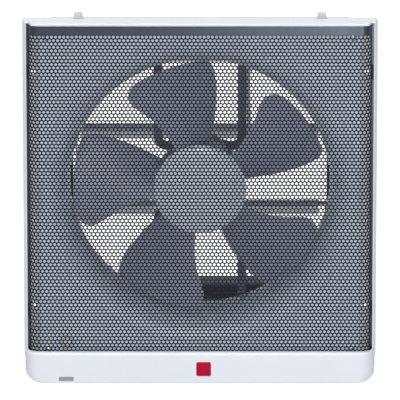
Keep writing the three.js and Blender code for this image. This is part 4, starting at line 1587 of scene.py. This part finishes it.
@dataclass
class Propeller:
    """The five-bladed propeller with its hub and spinner."""

    blades: int = 5
    stations: tuple[Triple, ...] = (
        (42.8, 48.5, 4.0), (58.0, 49.0, 5.0), (72.0, 50.1, 5.9), (86.0, 52.1, 7.2), (100.0, 55.0, 8.7),
        (110.0, 56.0, 10.2), (118.0, 54.6, 11.6), (122.5, 52.2, 13.0), (125.0, 48.6, 15.0),
    )
    lead_y: float = -1.4
    trail_y: float = 21.5
    camber: float = 3.2
    root_thickness: float = 2.8
    tip_thickness: float = 1.8
    hub_radius: float = 44.0
    hub_front: float = -3.0
    hub_rear: float = 24.0
    hub_wall: float = 2.5
    hub_step: Pair = (8.0, 6.0)
    hub_round: float = 0.9
    sides: int = 120
    boss_radius: float = 8.0
    boss_rear: float = 26.0
    bore: float = 4.1
    dish: float = 2.0
    spinner_radius: float = 45.5
    spinner_front: float = -8.5
    spinner_wall: float = 2.0
    spinner_sides: int = 128
    dome_height: float = 0.86
    dome_powers: Pair = (3.5, 0.6)
    rib_turn: float = 20.0
    rib_half: float = 0.9
    rib_rear: Pair = (19.0, 23.0)
    rib_bites: Triple = (0.6, 1.6, 0.4)
    edge: float = 0.02
    blunt: float = 0.08
    tip_round: float = 1.2
    tip_least: float = 0.04
    tip_past: float = 0.05
    rows: int = 34
    row_power: float = 1.35
    edge_shares: tuple[float, ...] = (0.0, 0.003, 0.009, 0.02)
    middle_shares: tuple[float, float, int] = (0.045, 0.91, 22)

    def build(self, shop: Workshop) -> None:
        """Builds and dresses the propeller, the spinner and the shaft's pieces.

        Args:
            shop: The workshop that dresses the pieces.
        """
        look = shop.finishes
        turns = [360.0 / self.blades * i for i in range(self.blades)]
        parts = [
            self._hub(), *(self._blade(turn) for turn in turns),
            *(self._rib(turn + self.rib_turn) for turn in turns),
        ]
        shop.dress(join("propeller_moulding", parts, CURVED_SHARP), look.blade, Body.ROTOR, ["propeller"])
        shop.dress(self._spinner(), look.spinner, Body.ROTOR, ["spinner"])
        for node, finish in (("shaft", look.steel), ("rotor_core", look.steel), ("shaft_nut", look.zinc)):
            shop.keep(node, finish, 0.25)

    def _hub(self) -> Piece:
        """Turns the hub, open at the rear.

        Returns:
            The hub.
        """
        r, w = self.hub_radius, self.hub_wall
        step_in, step_out = self.hub_step
        corners = [
            (self.bore, self.dish), (r - step_in, self.dish), (r - step_out, self.hub_front),
            (r, self.hub_front), (r, self.hub_rear), (r - w, self.hub_rear),
            (r - w, self.dish + w), (self.boss_radius, self.dish + w), (self.boss_radius, self.boss_rear),
            (self.bore, self.boss_rear),
        ]
        return turned("hub", rounded_profile(corners, self.hub_round, 4), self.sides)

    def _rib(self, turn: float) -> Piece:
        """Makes one stiffening rib inside the hub.

        Args:
            turn: Its place round the hub, in degrees.

        Returns:
            The rib.
        """
        turned_by = spun(math.radians(turn))
        boss_bite, hub_bite, floor_bite = self.rib_bites
        near, far = self.boss_radius - boss_bite, self.hub_radius - hub_bite
        front = self.dish + self.hub_wall - floor_bite
        shape = [(near, front), (far, front), (far, self.rib_rear[0]), (near, self.rib_rear[1])]
        return prism(
            "rib", shape, lambda r, y, across: turned_by(r, across, y), -self.rib_half, self.rib_half, 0.3
        )

    def _station(self, radius: float) -> Pair:
        """Finds a blade's edges at a radius, by a smooth curve through the stations.

        Args:
            radius: The radius.

        Returns:
            The leading and the trailing edge's angle in degrees.
        """
        rows = self.stations
        last = len(rows) - 2
        i = next((k for k in range(last + 1) if radius <= rows[k + 1][0]), last)
        out: list[float] = []
        for column in (1, 2):
            slopes = []
            for k in (i, i + 1):
                before, after = rows[max(k - 1, 0)], rows[min(k + 1, len(rows) - 1)]
                slopes.append((after[column] - before[column]) / (after[0] - before[0]))
            span = rows[i + 1][0] - rows[i][0]
            t = (radius - rows[i][0]) / span
            out.append(
                (2 * t**3 - 3 * t**2 + 1) * rows[i][column] + (t**3 - 2 * t**2 + t) * span * slopes[0]
                + (3 * t**2 - 2 * t**3) * rows[i + 1][column] + (t**3 - t**2) * span * slopes[1]
            )
        return (out[0], out[1])

    def _blade(self, turn: float) -> Piece:
        """Lofts one blade through sections of rounded edges.

        Args:
            turn: Its place round the hub, in degrees.

        Returns:
            The blade.
        """
        first, last = self.stations[0][0], self.stations[-1][0]
        radii = [
            first + (last - first) * (1 - (1 - k / self.rows) ** self.row_power) for k in range(self.rows + 1)
        ]
        start, span, steps = self.middle_shares
        middle = (start + span * k / steps for k in range(steps + 1))
        shares = [*self.edge_shares, *middle, *(1 - share for share in reversed(self.edge_shares))]
        rings: list[Ring] = []
        for row, radius in enumerate(radii):
            lead, trail = self._station(radius)
            share = (radius - first) / (last - first)
            thick = self.root_thickness + (self.tip_thickness - self.root_thickness) * share
            if radius > last - self.tip_round:
                left = (last - radius + self.tip_past) / self.tip_round
                thick *= min(1.0, math.sqrt(max(self.tip_least, left)))
            front: Ring = []
            back: Ring = []
            for u in shares:
                a = math.radians(lead + (trail - lead) * u + turn)
                y = self.lead_y + (self.trail_y - self.lead_y) * u - self.camber * math.sin(math.pi * u)
                near = min(u, 1 - u, self.edge) / self.edge
                half = thick / 2 * (math.sqrt(max(0.0, 1 - (1 - near) ** 2)) * (1 - self.blunt) + self.blunt)
                front.append((radius * math.cos(a), y - half, radius * math.sin(a)))
                back.append((radius * math.cos(a), y + half, radius * math.sin(a)))
            rings.append(front + back[::-1])
        points, faces = loft(rings, capped=False)
        count = len(rings[0])
        for start in (0, (len(rings) - 1) * count):
            for k in range(count // 2 - 1):
                faces.append([start + k, start + k + 1, start + count - 2 - k, start + count - 1 - k])
        return new_piece("blade", points, faces, CURVED_SHARP)

    def _spinner(self) -> Piece:
        """Turns the slightly domed cap over the hub.

        Returns:
            The spinner.
        """
        radius, front, wall = self.spinner_radius, self.spinner_front, self.spinner_wall
        rise = self.hub_front - front

        def dome(u: float) -> float:
            """Returns the dome's fall at a share of its radius."""
            steep, blunt = self.dome_powers
            return self.dome_height * (1 - (1 - min(u, 1.0) ** steep) ** blunt)

        shares = [math.sin(math.radians(90 * k / 36)) for k in range(37)]
        outer = [(radius * u, front + rise * dome(u)) for u in shares]
        shares = [0.9 * k / 10 for k in range(10, -1, -1)]
        inner = [(radius * u, front + wall + (rise - wall) * dome(u)) for u in shares]
        rim = [(radius, self.hub_front), (radius - 4.0, self.hub_front)]
        return turned("spinner_cap", [*outer, *rim, *inner], self.spinner_sides)


@dataclass
class Motor:
    """The motor with its shells, core, brackets and lead."""

    radius: float = 36.0
    shell: float = 1.6
    front: float = 36.0
    rear: float = 70.0
    core_front: float = 46.0
    core_rear: float = 58.0
    core_bore: float = 20.0
    bearing_radius: float = 11.0
    lug_radius: float = 40.0
    lug_angle: float = 35.0
    lug_pad: float = 6.0
    lug_bite: float = 2.0
    lug_spread: float = 0.28
    shaft_hole: float = 6.5
    pocket_depth: float = 4.0
    seat: float = 2.5
    rounding: float = 1.3
    outlet: tuple[float, float, float, float] = (-3.0, 4.0, 6.0, 14.0)
    outlet_round: float = 1.5
    lug_steps: int = 12
    slots: int = 10
    slot_reach: Pair = (17.0, 29.0)
    slot_half: float = 1.5
    slot_round: float = 1.4
    plates: int = 16
    plate_sharp: float = 20.0
    sides: int = 96
    seam: Pair = (0.25, 0.12)
    leg_x: float = 41.5
    leg_bend: float = 10.0
    leg_width: float = 8.6
    leg_front: float = 33.5
    leg_rear: float = 36.0
    foot_z: float = 127.41
    foot_past: float = 5.0
    lead_radius: float = 2.0
    lead_path: tuple[Point, ...] = (
        (40, 41, 10), (42, 41, 10), (46.6, 41, 14), (48.1, 40, 22), (48.1, 40, 56), (48.1, 40, 112),
        (52.1, 40, 126), (69.1, 39, 138), (92, 33, 138), (104, 18, 131), (110, 16, 129), (112, 16, 129),
    )
    lead_step: float = 2.5

    def build(self, shop: Workshop) -> None:
        """Builds and dresses every piece of the motor.

        Args:
            shop: The workshop that dresses the pieces.
        """
        look = shop.finishes
        shop.dress(self._front_shell(), look.zinc, Body.HOUSING, ["motor_front_shell"])
        shop.dress(self._rear_shell(), look.zinc, Body.HOUSING, ["motor_rear_shell"])
        shop.dress(self._core(), look.steel, Body.HOUSING, ["stator_core"])
        for place, s, end in (("upper", 1, "front"), ("lower", -1, "rear")):
            strap = self._bracket(f"motor_strap_{place}", s)
            shop.dress(strap, look.bracket, Body.HOUSING, [f"motor_bracket_{place}"])
            shop.keep(f"winding_{end}", look.copper, 0.5)
            shop.keep(f"bearing_{end}", look.steel, 0.3)
        sleeve = tube("motor_lead_sleeve", self._lead_line(), self.lead_radius)
        shop.dress(sleeve, look.lead, Body.HOUSING, ["motor_lead"])

    def _lug(self, sx: int, sz: int) -> Pair:
        """Returns the place of a lug's screw."""
        a = math.radians(self.lug_angle)
        return (sx * self.lug_radius * math.sin(a), sz * self.lug_radius * math.cos(a))

    def _front_shell(self) -> Piece:
        """Turns the drawn front shell and adds its lugs and lead outlet.

        Returns:
            The shell.
        """
        r, w, bearing = self.radius, self.shell, self.bearing_radius
        floor = self.front - self.pocket_depth
        pocket, seat = bearing + w, r - self.seat
        corners = [
            (self.shaft_hole, floor - w), (pocket, floor - w), (pocket, self.front), (r, self.front),
            (r, self.core_front), (seat, self.core_front),
            (seat, self.front + w), (bearing, self.front + w), (bearing, floor), (self.shaft_hole, floor),
        ]
        parts = [turned("can", rounded_profile(corners, self.rounding, 4), self.sides)]
        for sx in (-1, 1):
            for sz in (-1, 1):
                x, z = self._lug(sx, sz)
                away = math.atan2(z, x)
                shape: list[Pair] = []
                for k in range(self.lug_steps + 1):
                    a = away - math.pi / 2 + math.pi * k / self.lug_steps
                    shape.append((x + self.lug_pad * math.cos(a), z + self.lug_pad * math.sin(a)))
                for side in (1, -1):
                    a = away + side * self.lug_spread
                    shape.append(((r - self.lug_bite) * math.cos(a), (r - self.lug_bite) * math.sin(a)))
                parts.append(prism("lug", shape, facing, self.front + 0.01, self.front + w, 0.3))
        inward, outward, low, high = self.outlet
        outlet = rounded_rect(r + inward, r + outward, low, high, self.outlet_round, 4)
        parts.append(prism("outlet", outlet, facing, self.front + 2.0, self.core_front - 2.0, 0.6))
        return join("motor_shell_front", parts)

    def _rear_shell(self) -> Piece:
        """Turns the rear shell and cuts its cooling slots.

        Returns:
            The shell.
        """
        r, w, bearing = self.radius, self.shell, self.bearing_radius
        floor = self.rear + self.pocket_depth
        pocket, seat = bearing + w, r - self.seat
        corners = [
            (0.0, floor), (bearing, floor), (bearing, self.rear - w), (seat, self.rear - w),
            (seat, self.core_rear),
            (r, self.core_rear), (r, self.rear), (pocket, self.rear), (pocket, floor + w), (0.0, floor + w),
        ]
        made = turned("motor_shell_rear", rounded_profile(corners, self.rounding, 4), self.sides)
        outline = rounded_rect(*self.slot_reach, -self.slot_half, self.slot_half, self.slot_round, 4)
        turns = [math.radians(360.0 / self.slots * (k + 0.5)) for k in range(self.slots)]
        slots = [
            prism("slot", outline, spun(turn), self.rear - w - 1.0, self.rear + 1.0, 0.0) for turn in turns
        ]
        carve(made, join("slots", slots), Cut.AWAY)
        return made

    def _core(self) -> Piece:
        """Turns the stacked core with the seams of its plates.

        Returns:
            The core.
        """
        profile: list[Pair] = [(self.core_bore, self.core_front)]
        step = (self.core_rear - self.core_front) / self.plates
        depth, slope = self.seam
        for k in range(self.plates):
            y = self.core_front + k * step
            inner, outer = self.radius - depth, self.radius
            profile += [(inner, y), (outer, y + slope), (outer, y + step - slope), (inner, y + step)]
        profile.append((self.core_bore, self.core_rear))
        return turned("stator_stack", profile, self.sides, sharp=self.plate_sharp)

    def _bracket(self, name: str, s: int) -> Piece:
        """Cuts one U-shaped strap with round feet.

        Args:
            name: The piece's name.
            s: 1 for the upper strap and -1 for the lower one.

        Returns:
            The strap.
        """
        half = self.leg_width / 2
        cross = self.lug_radius * math.cos(math.radians(self.lug_angle))
        foot = self.foot_z + self.foot_past - half
        outer: list[Pair] = []
        inner: list[Pair] = []
        for side, start in ((-1, 180), (1, 270)):
            centre = (side * (self.leg_x - self.leg_bend), cross + self.leg_bend)
            outer += arc(centre, self.leg_bend + half, start, 90, 12)
            inner += arc(centre, self.leg_bend - half, start, 90, 12)
        right, left = (arc((x, foot), half, 0, 180, 10) for x in (self.leg_x, -self.leg_x))
        shape = [*outer, *right, *inner[::-1], *left]
        return prism(name, [(x, s * z) for x, z in shape], facing, self.leg_front, self.leg_rear, 0.45)

    def _lead_line(self) -> list[Point]:
        """Runs the lead's centre line as an even curve through its points.

        Returns:
            The points of the line.
        """
        spots = [Vector(p) for p in self.lead_path]
        spots = [spots[0] * 2 - spots[1], *spots, spots[-1] * 2 - spots[-2]]
        out: list[Point] = []
        for i in range(1, len(spots) - 2):
            quad = spots[i - 1 : i + 3]
            times = [0.0]
            for one, two in zip(quad, quad[1:]):
                times.append(times[-1] + math.sqrt((two - one).length))
            steps = max(3, int((quad[2] - quad[1]).length / self.lead_step))
            for k in range(steps):
                t = times[1] + (times[2] - times[1]) * k / steps
                level = quad
                for depth in (1, 2, 3):
                    blend = []
                    for j in range(len(level) - 1):
                        start, end = (times[1], times[2]) if depth == 3 else (times[j], times[j + depth])
                        blend.append((level[j] * (end - t) + level[j + 1] * (t - start)) / (end - start))
                    level = blend
                out.append(tuple(level[0]))
        out.append(tuple(spots[-2]))
        return out


@dataclass
class Shutter:
    """The rear shutter: frame, three louvres, tie bar and actuator."""

    pivot_y: float = 76.5
    pivots: tuple[tuple[str, float], ...] = (("top", 120.0), ("mid", 40.0), ("low", -40.0))
    chord: float = 76.4
    half_width: float = 118.5
    sheet: float = 1.2
    roll: float = 3.0
    roll_sides: int = 24
    lip: float = 4.0
    pin: float = 2.0
    pin_sides: int = 18
    open_angle: float = 64.0
    link_radius: float = 22.0
    link_angle: float = 25.0
    link_pin: float = 1.8
    link_x: float = -123.5
    lug: float = 1.4
    lug_shape: tuple[Pair, ...] = ((3.4, 2.0), (3.4, -3.4), (-1.0, -4.4))
    lug_root: float = 8.0
    lug_round: float = 1.6
    side: float = 127.5
    curl_share: float = 0.6
    bead_places: Pair = (22.0, 52.0)
    bead_height: float = 1.1
    bead_width: float = 3.4
    rows: int = 60
    pin_past: float = 1.5
    drive_past: float = 6.0
    link_past: float = 0.8

    def build(self, shop: Workshop) -> None:
        """Builds and dresses the shutter's pieces.

        Args:
            shop: The workshop that dresses the pieces.
        """
        look = shop.finishes
        for place, z in self.pivots:
            louvre = self._louvre(f"louvre_blade_{place}", z, place == "mid")
            shop.dress(louvre, look.louvre, Body(f"louvre_{place}"), [f"louvre_{place}"])
        shop.keep("shutter_frame", look.frame, 0.35)
        shop.keep("tie_bar", look.zinc, 0.3)
        shop.keep("shutter_actuator", look.black, 0.9)

    def _louvre(self, name: str, z: float, driven: bool) -> Piece:
        """Folds one louvre with its pressed beads, side lug and pins.

        Args:
            name: The piece's name.
            z: The height of its pivot.
            driven: Whether its pin reaches into the actuator.

        Returns:
            The louvre, swung open.
        """
        c, s = math.cos(math.radians(self.open_angle)), math.sin(math.radians(self.open_angle))

        def place(y: float, h: float, x: float) -> Point:
            """Swings an outline of (y, height) about the pivot, at a width x."""
            return (x, self.pivot_y + y * c - h * s, z + y * s + h * c)

        half = self.sheet / 2
        near: list[Pair] = []
        far: list[Pair] = []
        start = self.roll * self.curl_share
        for k in range(self.rows + 1):
            h = -start - (self.chord - start - self.sheet) * k / self.rows
            bump = sum(
                self.bead_height * math.exp(-(((h + centre) / self.bead_width) ** 2))
                for centre in self.bead_places
            )
            near.append((-half + bump, h))
            far.append((half + bump, h))
        low, fold = -self.chord, self.sheet - self.chord
        lip = [(half, fold), (self.lip, fold), (self.lip, low), (-half, low)]
        side = self.half_width
        parts = [
            prism("panel", [*far[:-1], *lip, *near[::-1]], place, -side, side, 0.25),
            prism("curl", circle((0.0, 0.0), self.roll, self.roll_sides), place, -side, side, 0.3),
        ]
        b = math.radians(self.link_angle)
        ly, lz = self.link_radius * math.sin(b), -self.link_radius * math.cos(b)
        round_pin = [(ly + dy, lz + dz) for dy, dz in self.lug_shape]
        lug = rounded_profile([(-half, 0.0), *round_pin, (-half, lz - self.lug_root)], self.lug_round, 4)
        parts.append(prism("lug", lug, place, -side, self.lug - side, 0.25))
        reach = self.side + (self.drive_past if driven else self.pin_past)
        root = side - 1
        pins = (
            ((0.0, 0.0), self.pin, -self.side - self.pin_past, -root),
            ((0.0, 0.0), self.pin, root, reach),
            ((ly, lz), self.link_pin, self.link_x - self.link_past, -root),
        )
        for centre, radius, x0, x1 in pins:
            parts.append(prism("pin", circle(centre, radius, self.pin_sides), place, x0, x1, 0.35))
        return join(name, parts)


@dataclass
class Fasteners:
    """Every pan-head screw of the fan."""

    shank: float = 1.9
    head: float = 3.6
    height: float = 2.2
    sides: int = 28
    dome: tuple[Pair, ...] = ((0.5, 0.97), (0.78, 0.82), (0.94, 0.55), (1.0, 0.25))
    recess_reach: float = 2.05
    recess_half: float = 0.42
    recess_depth: float = 1.2
    twist: float = 37.0
    plate_at: Triple = (150.0, 158.0, -164.0)
    plate_front: float = -11.0
    bracket_at: Pair = (41.5, 127.41)
    bracket_rear: float = 36.0
    motor_at: Pair = (22.94, 32.77)
    motor_front: float = 33.5
    shutter_at: float = 140.0
    shutter_front: float = 80.0
    lid_at: Triple = (129.0, 129.0, 30.0)
    plate_length: float = 10.0
    short_length: float = 6.1
    shutter_length: float = 13.2
    lid_length: float = 12.0
    places: dict[str, Place] = field(default_factory=dict)

    def __post_init__(self) -> None:
        """Lists the screws: x, z, the plane of the head, the shank's length and its way."""
        corners = ((-1, 1), (1, 1), (-1, -1), (1, -1))
        side, top, bottom = self.plate_at
        leg, foot = self.bracket_at
        lug_x, lug_z = self.motor_at
        out = self.shutter_at
        for i, (sx, sz) in enumerate(corners, start=1):
            spots: dict[str, Place] = {
                "plate": (sx * side, top if sz > 0 else bottom, self.plate_front, self.plate_length, 1),
                "bracket": (sx * leg, sz * foot, self.bracket_rear, self.short_length, -1),
                "motor": (sx * lug_x, sz * lug_z, self.motor_front, self.short_length, 1),
                "shutter": (sx * out, sz * out, self.shutter_front, self.shutter_length, 1),
            }
            self.places.update({f"{held}_screw_{i}": spot for held, spot in spots.items()})
        self.places["lid_screw"] = (*self.lid_at, self.lid_length, -1)

    def build(self, shop: Workshop) -> None:
        """Makes each screw with a domed head and a cross recess.

        Args:
            shop: The workshop that dresses the pieces.
        """
        for number, (node, place) in enumerate(self.places.items()):
            piece = self._screw(f"{node}_head", place, math.radians(self.twist * number))
            shop.dress(piece, shop.finishes.zinc, Body.HOUSING, [node])

    def _screw(self, name: str, place: Place, twist: float) -> Piece:
        """Makes one screw.

        Args:
            name: The piece's name.
            place: Its x, z, head plane, shank length and way.
            twist: How far its recess is turned.

        Returns:
            The screw.
        """
        x, z, plane, length, way = place
        h, r, s = self.height, self.head, self.shank
        top = [(out * r, -up * h) for out, up in self.dome]
        shank = [(s, 0.0), (s, length - 1.0), (0.5 * s, length), (0.0, length)]
        made = turned(name, [(0.0, -h), *top, (r, 0.0), *shank], self.sides)
        reach, half = self.recess_reach, self.recess_half
        outline = [(-reach, -half), (reach, -half), (reach, half), (-reach, half)]
        for k in range(2):
            slack = 0.01 * k  # keeps the two arms' faces apart
            floor = -h + self.recess_depth + slack
            carve(
                made, prism("arm", outline, spun(twist + math.pi / 2 * k), -h - 1.0 - slack, floor, 0.0),
                Cut.AWAY,
            )
        turn = Matrix.Translation((x * MM, plane * MM, z * MM)) @ (
            Matrix.Rotation(math.pi, 4, "Z") if way < 0 else Matrix.Identity(4)
        )
        made.data.transform(turn)
        return made


@dataclass
class Housing:
    """The sleeve, hooks, bush and the electric pieces round the duct."""

    bush_at: Pair = (-132.0, -156.0)
    bush_bore: float = 3.5
    bush_neck: float = 5.0
    bush_flange: float = 7.0
    bush_lip: float = 1.5
    bush_round: float = 0.6
    bush_sides: int = 48
    plate_front: float = -11.0
    plate_wall: float = 1.6

    def build(self, shop: Workshop) -> None:
        """Builds the bush and dresses the kept pieces.

        Args:
            shop: The workshop that dresses the pieces.
        """
        look = shop.finishes
        shop.dress(self._bush(), look.rubber, Body.HOUSING, ["cord_bush"])
        shop.keep("wall_sleeve", look.sleeve, 0.6)
        for side in ("left", "right"):
            shop.keep(f"hook_{side}", look.hook, 0.3)
        for node, ease in (("terminal_box", 0.9), ("terminal_lid", 0.5), ("capacitor", 1.2)):
            shop.keep(node, look.black, ease)
        shop.keep("capacitor_strap", look.zinc, 0.25)
        for i in range(1, 5):
            shop.keep(f"sheet_clip_{i}", look.mesh, 0.4)

    def _bush(self) -> Piece:
        """Turns the rubber bush of the cord's hole.

        Returns:
            The bush.
        """
        front = self.plate_front
        back = front + self.plate_wall
        corners = [
            (self.bush_bore, front - self.bush_lip), (self.bush_flange, front - self.bush_lip),
            (self.bush_flange, front), (self.bush_neck, front),
            (self.bush_neck, back), (self.bush_flange, back), (self.bush_flange, back + self.bush_lip),
            (self.bush_bore, back + self.bush_lip),
        ]
        return turned(
            "cord_bush_rubber", rounded_profile(corners, self.bush_round, 4), self.bush_sides, self.bush_at
        )


# --------------------------------------------------------------- studio


@dataclass
class Studio:
    """The pale floor, the soft lights and the camera."""

    distance: float = 8.0
    elevation: float = 17.8
    aim: Point = (0.0, 0.0, -0.0124)
    field_of_view: float = 0.394
    sensor: float = 36.0
    floor_z: float = -0.6
    floor_reach: float = 30.0
    floor_paint: float = 0.8
    floor_glow: float = 0.74
    world_light: float = 0.17
    world_tint: Rgb = (0.98, 0.99, 1.0)
    # Each lamp: its name, place, width and height in metres, and power in watts.
    lamps: tuple[tuple[str, Point, float, float, float], ...] = (
        ("front light", (0.0, -4.75, 1.52), 0.2, 0.15, 103.0),
        ("top light", (-0.3, -0.4, 3.4), 1.8, 1.2, 80.0),
        ("key light", (2.6, -4.0, 3.6), 2.6, 2.6, 9.0),
        ("fill light", (-3.6, -3.6, 1.6), 3.0, 3.0, 8.0),
        ("low front light", (0.244, -1.7, -0.29), 0.3, 0.12, 2.6),
    )

    def build(self) -> None:
        """Sets up the camera, world, floor and lights."""
        scene = bpy.context.scene
        scene.view_settings.view_transform = "Standard"
        self._camera(scene)
        self._world(scene)
        self._floor()
        for lamp in self.lamps:
            self._lamp(*lamp)

    def _camera(self, scene: bpy.types.Scene) -> None:
        """Places the camera at the photograph's angle.

        Args:
            scene: The scene.
        """
        data = bpy.data.cameras.new("camera")
        data.sensor_width = self.sensor
        data.lens = self.sensor * self.distance / self.field_of_view
        made = put("camera", data)
        lift = math.radians(self.elevation)
        made.location = (
            self.aim[0], self.aim[1] - self.distance * math.cos(lift),
            self.aim[2] + self.distance * math.sin(lift),
        )
        made.rotation_euler = (math.pi / 2 - lift, 0.0, 0.0)
        scene.camera = made

    @staticmethod
    def _seen(nt: NodeTree) -> Socket:
        """Tells rays from the camera, mirrors and glass (1) from the rest (0).

        Args:
            nt: The tree to write to.

        Returns:
            The value's socket.
        """
        path = nt.node("ShaderNodeLightPath")
        some = nt.math("MAXIMUM", path.outputs["Is Camera Ray"], path.outputs["Is Glossy Ray"])
        return nt.math("MAXIMUM", some, path.outputs["Is Transmission Ray"])

    def _world(self, scene: bpy.types.Scene) -> None:
        """Makes the world white to look at and plain as a light.

        Args:
            scene: The scene.
        """
        world = bpy.data.worlds.new("studio")
        nt = emptied(world)
        seen = nt.node("ShaderNodeBackground")
        seen.inputs["Strength"].default_value = 1.0
        light = nt.node("ShaderNodeBackground")
        light.inputs["Color"].default_value = (*self.world_tint, 1.0)
        light.inputs["Strength"].default_value = self.world_light
        seen.inputs["Color"].default_value = (1.0, 1.0, 1.0, 1.0)
        mix = nt.node("ShaderNodeMixShader")
        nt.link(self._seen(nt), mix.inputs["Fac"])
        nt.link(light.outputs["Background"], mix.inputs[1])
        nt.link(seen.outputs["Background"], mix.inputs[2])
        nt.link(mix.outputs["Shader"], nt.node("ShaderNodeOutputWorld").inputs["Surface"])
        scene.world = world

    def _floor(self) -> None:
        """Lays the pale floor, which keeps the object's shadow."""
        mesh = bpy.data.meshes.new("floor")
        far = self.floor_reach
        corners = [(x * far, y * far, self.floor_z) for x, y in ((-1, -1), (1, -1), (1, 1), (-1, 1))]
        mesh.from_pydata(corners, [], [(0, 1, 2, 3)])
        made = put("floor", mesh)
        material = bpy.data.materials.new("studio floor")
        nt = emptied(material)
        paint = nt.node("ShaderNodeBsdfDiffuse")
        paint.inputs["Color"].default_value = (*[self.floor_paint] * 3, 1.0)
        glow = nt.node("ShaderNodeEmission")
        nt.link(nt.math("MULTIPLY", self._seen(nt), self.floor_glow), glow.inputs["Strength"])
        both = nt.node("ShaderNodeAddShader")
        nt.link(paint.outputs["BSDF"], both.inputs[0])
        nt.link(glow.outputs["Emission"], both.inputs[1])
        nt.link(both.outputs["Shader"], nt.node("ShaderNodeOutputMaterial").inputs["Surface"])
        mesh.materials.append(material)

    def _lamp(self, name: str, place: Point, width: float, height: float, power: float) -> None:
        """Adds one soft rectangular light aimed at the object.

        Args:
            name: The light's name.
            place: Where it stands, in metres.
            width: Its width in metres.
            height: Its height in metres.
            power: Its power in watts.
        """
        data = bpy.data.lights.new(name, "AREA")
        data.shape = "RECTANGLE"
        data.size = width
        data.size_y = height
        data.energy = power
        made = put(name, data)
        made.location = place
        made.rotation_euler = (Vector(self.aim) - Vector(place)).to_track_quat("-Z", "Y").to_euler()


# --------------------------------------------------------------- main


def main() -> None:
    """Builds the fan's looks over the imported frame."""
    logging.basicConfig(level=logging.INFO, format="%(name)s: %(message)s")
    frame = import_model()
    shop = Workshop(EffectLibrary(), FinishSet(), {name: bpy.data.objects[name] for name in frame["nodes"]})
    Studio().build()
    Housing().build(shop)
    OrificePlate().build(shop)
    Motor().build(shop)
    Propeller().build(shop)
    Shutter().build(shop)
    Fasteners().build(shop)
    MeshSheet().build(shop)
    CoverFrame().build(shop)


if __name__ == "__main__":
    main()
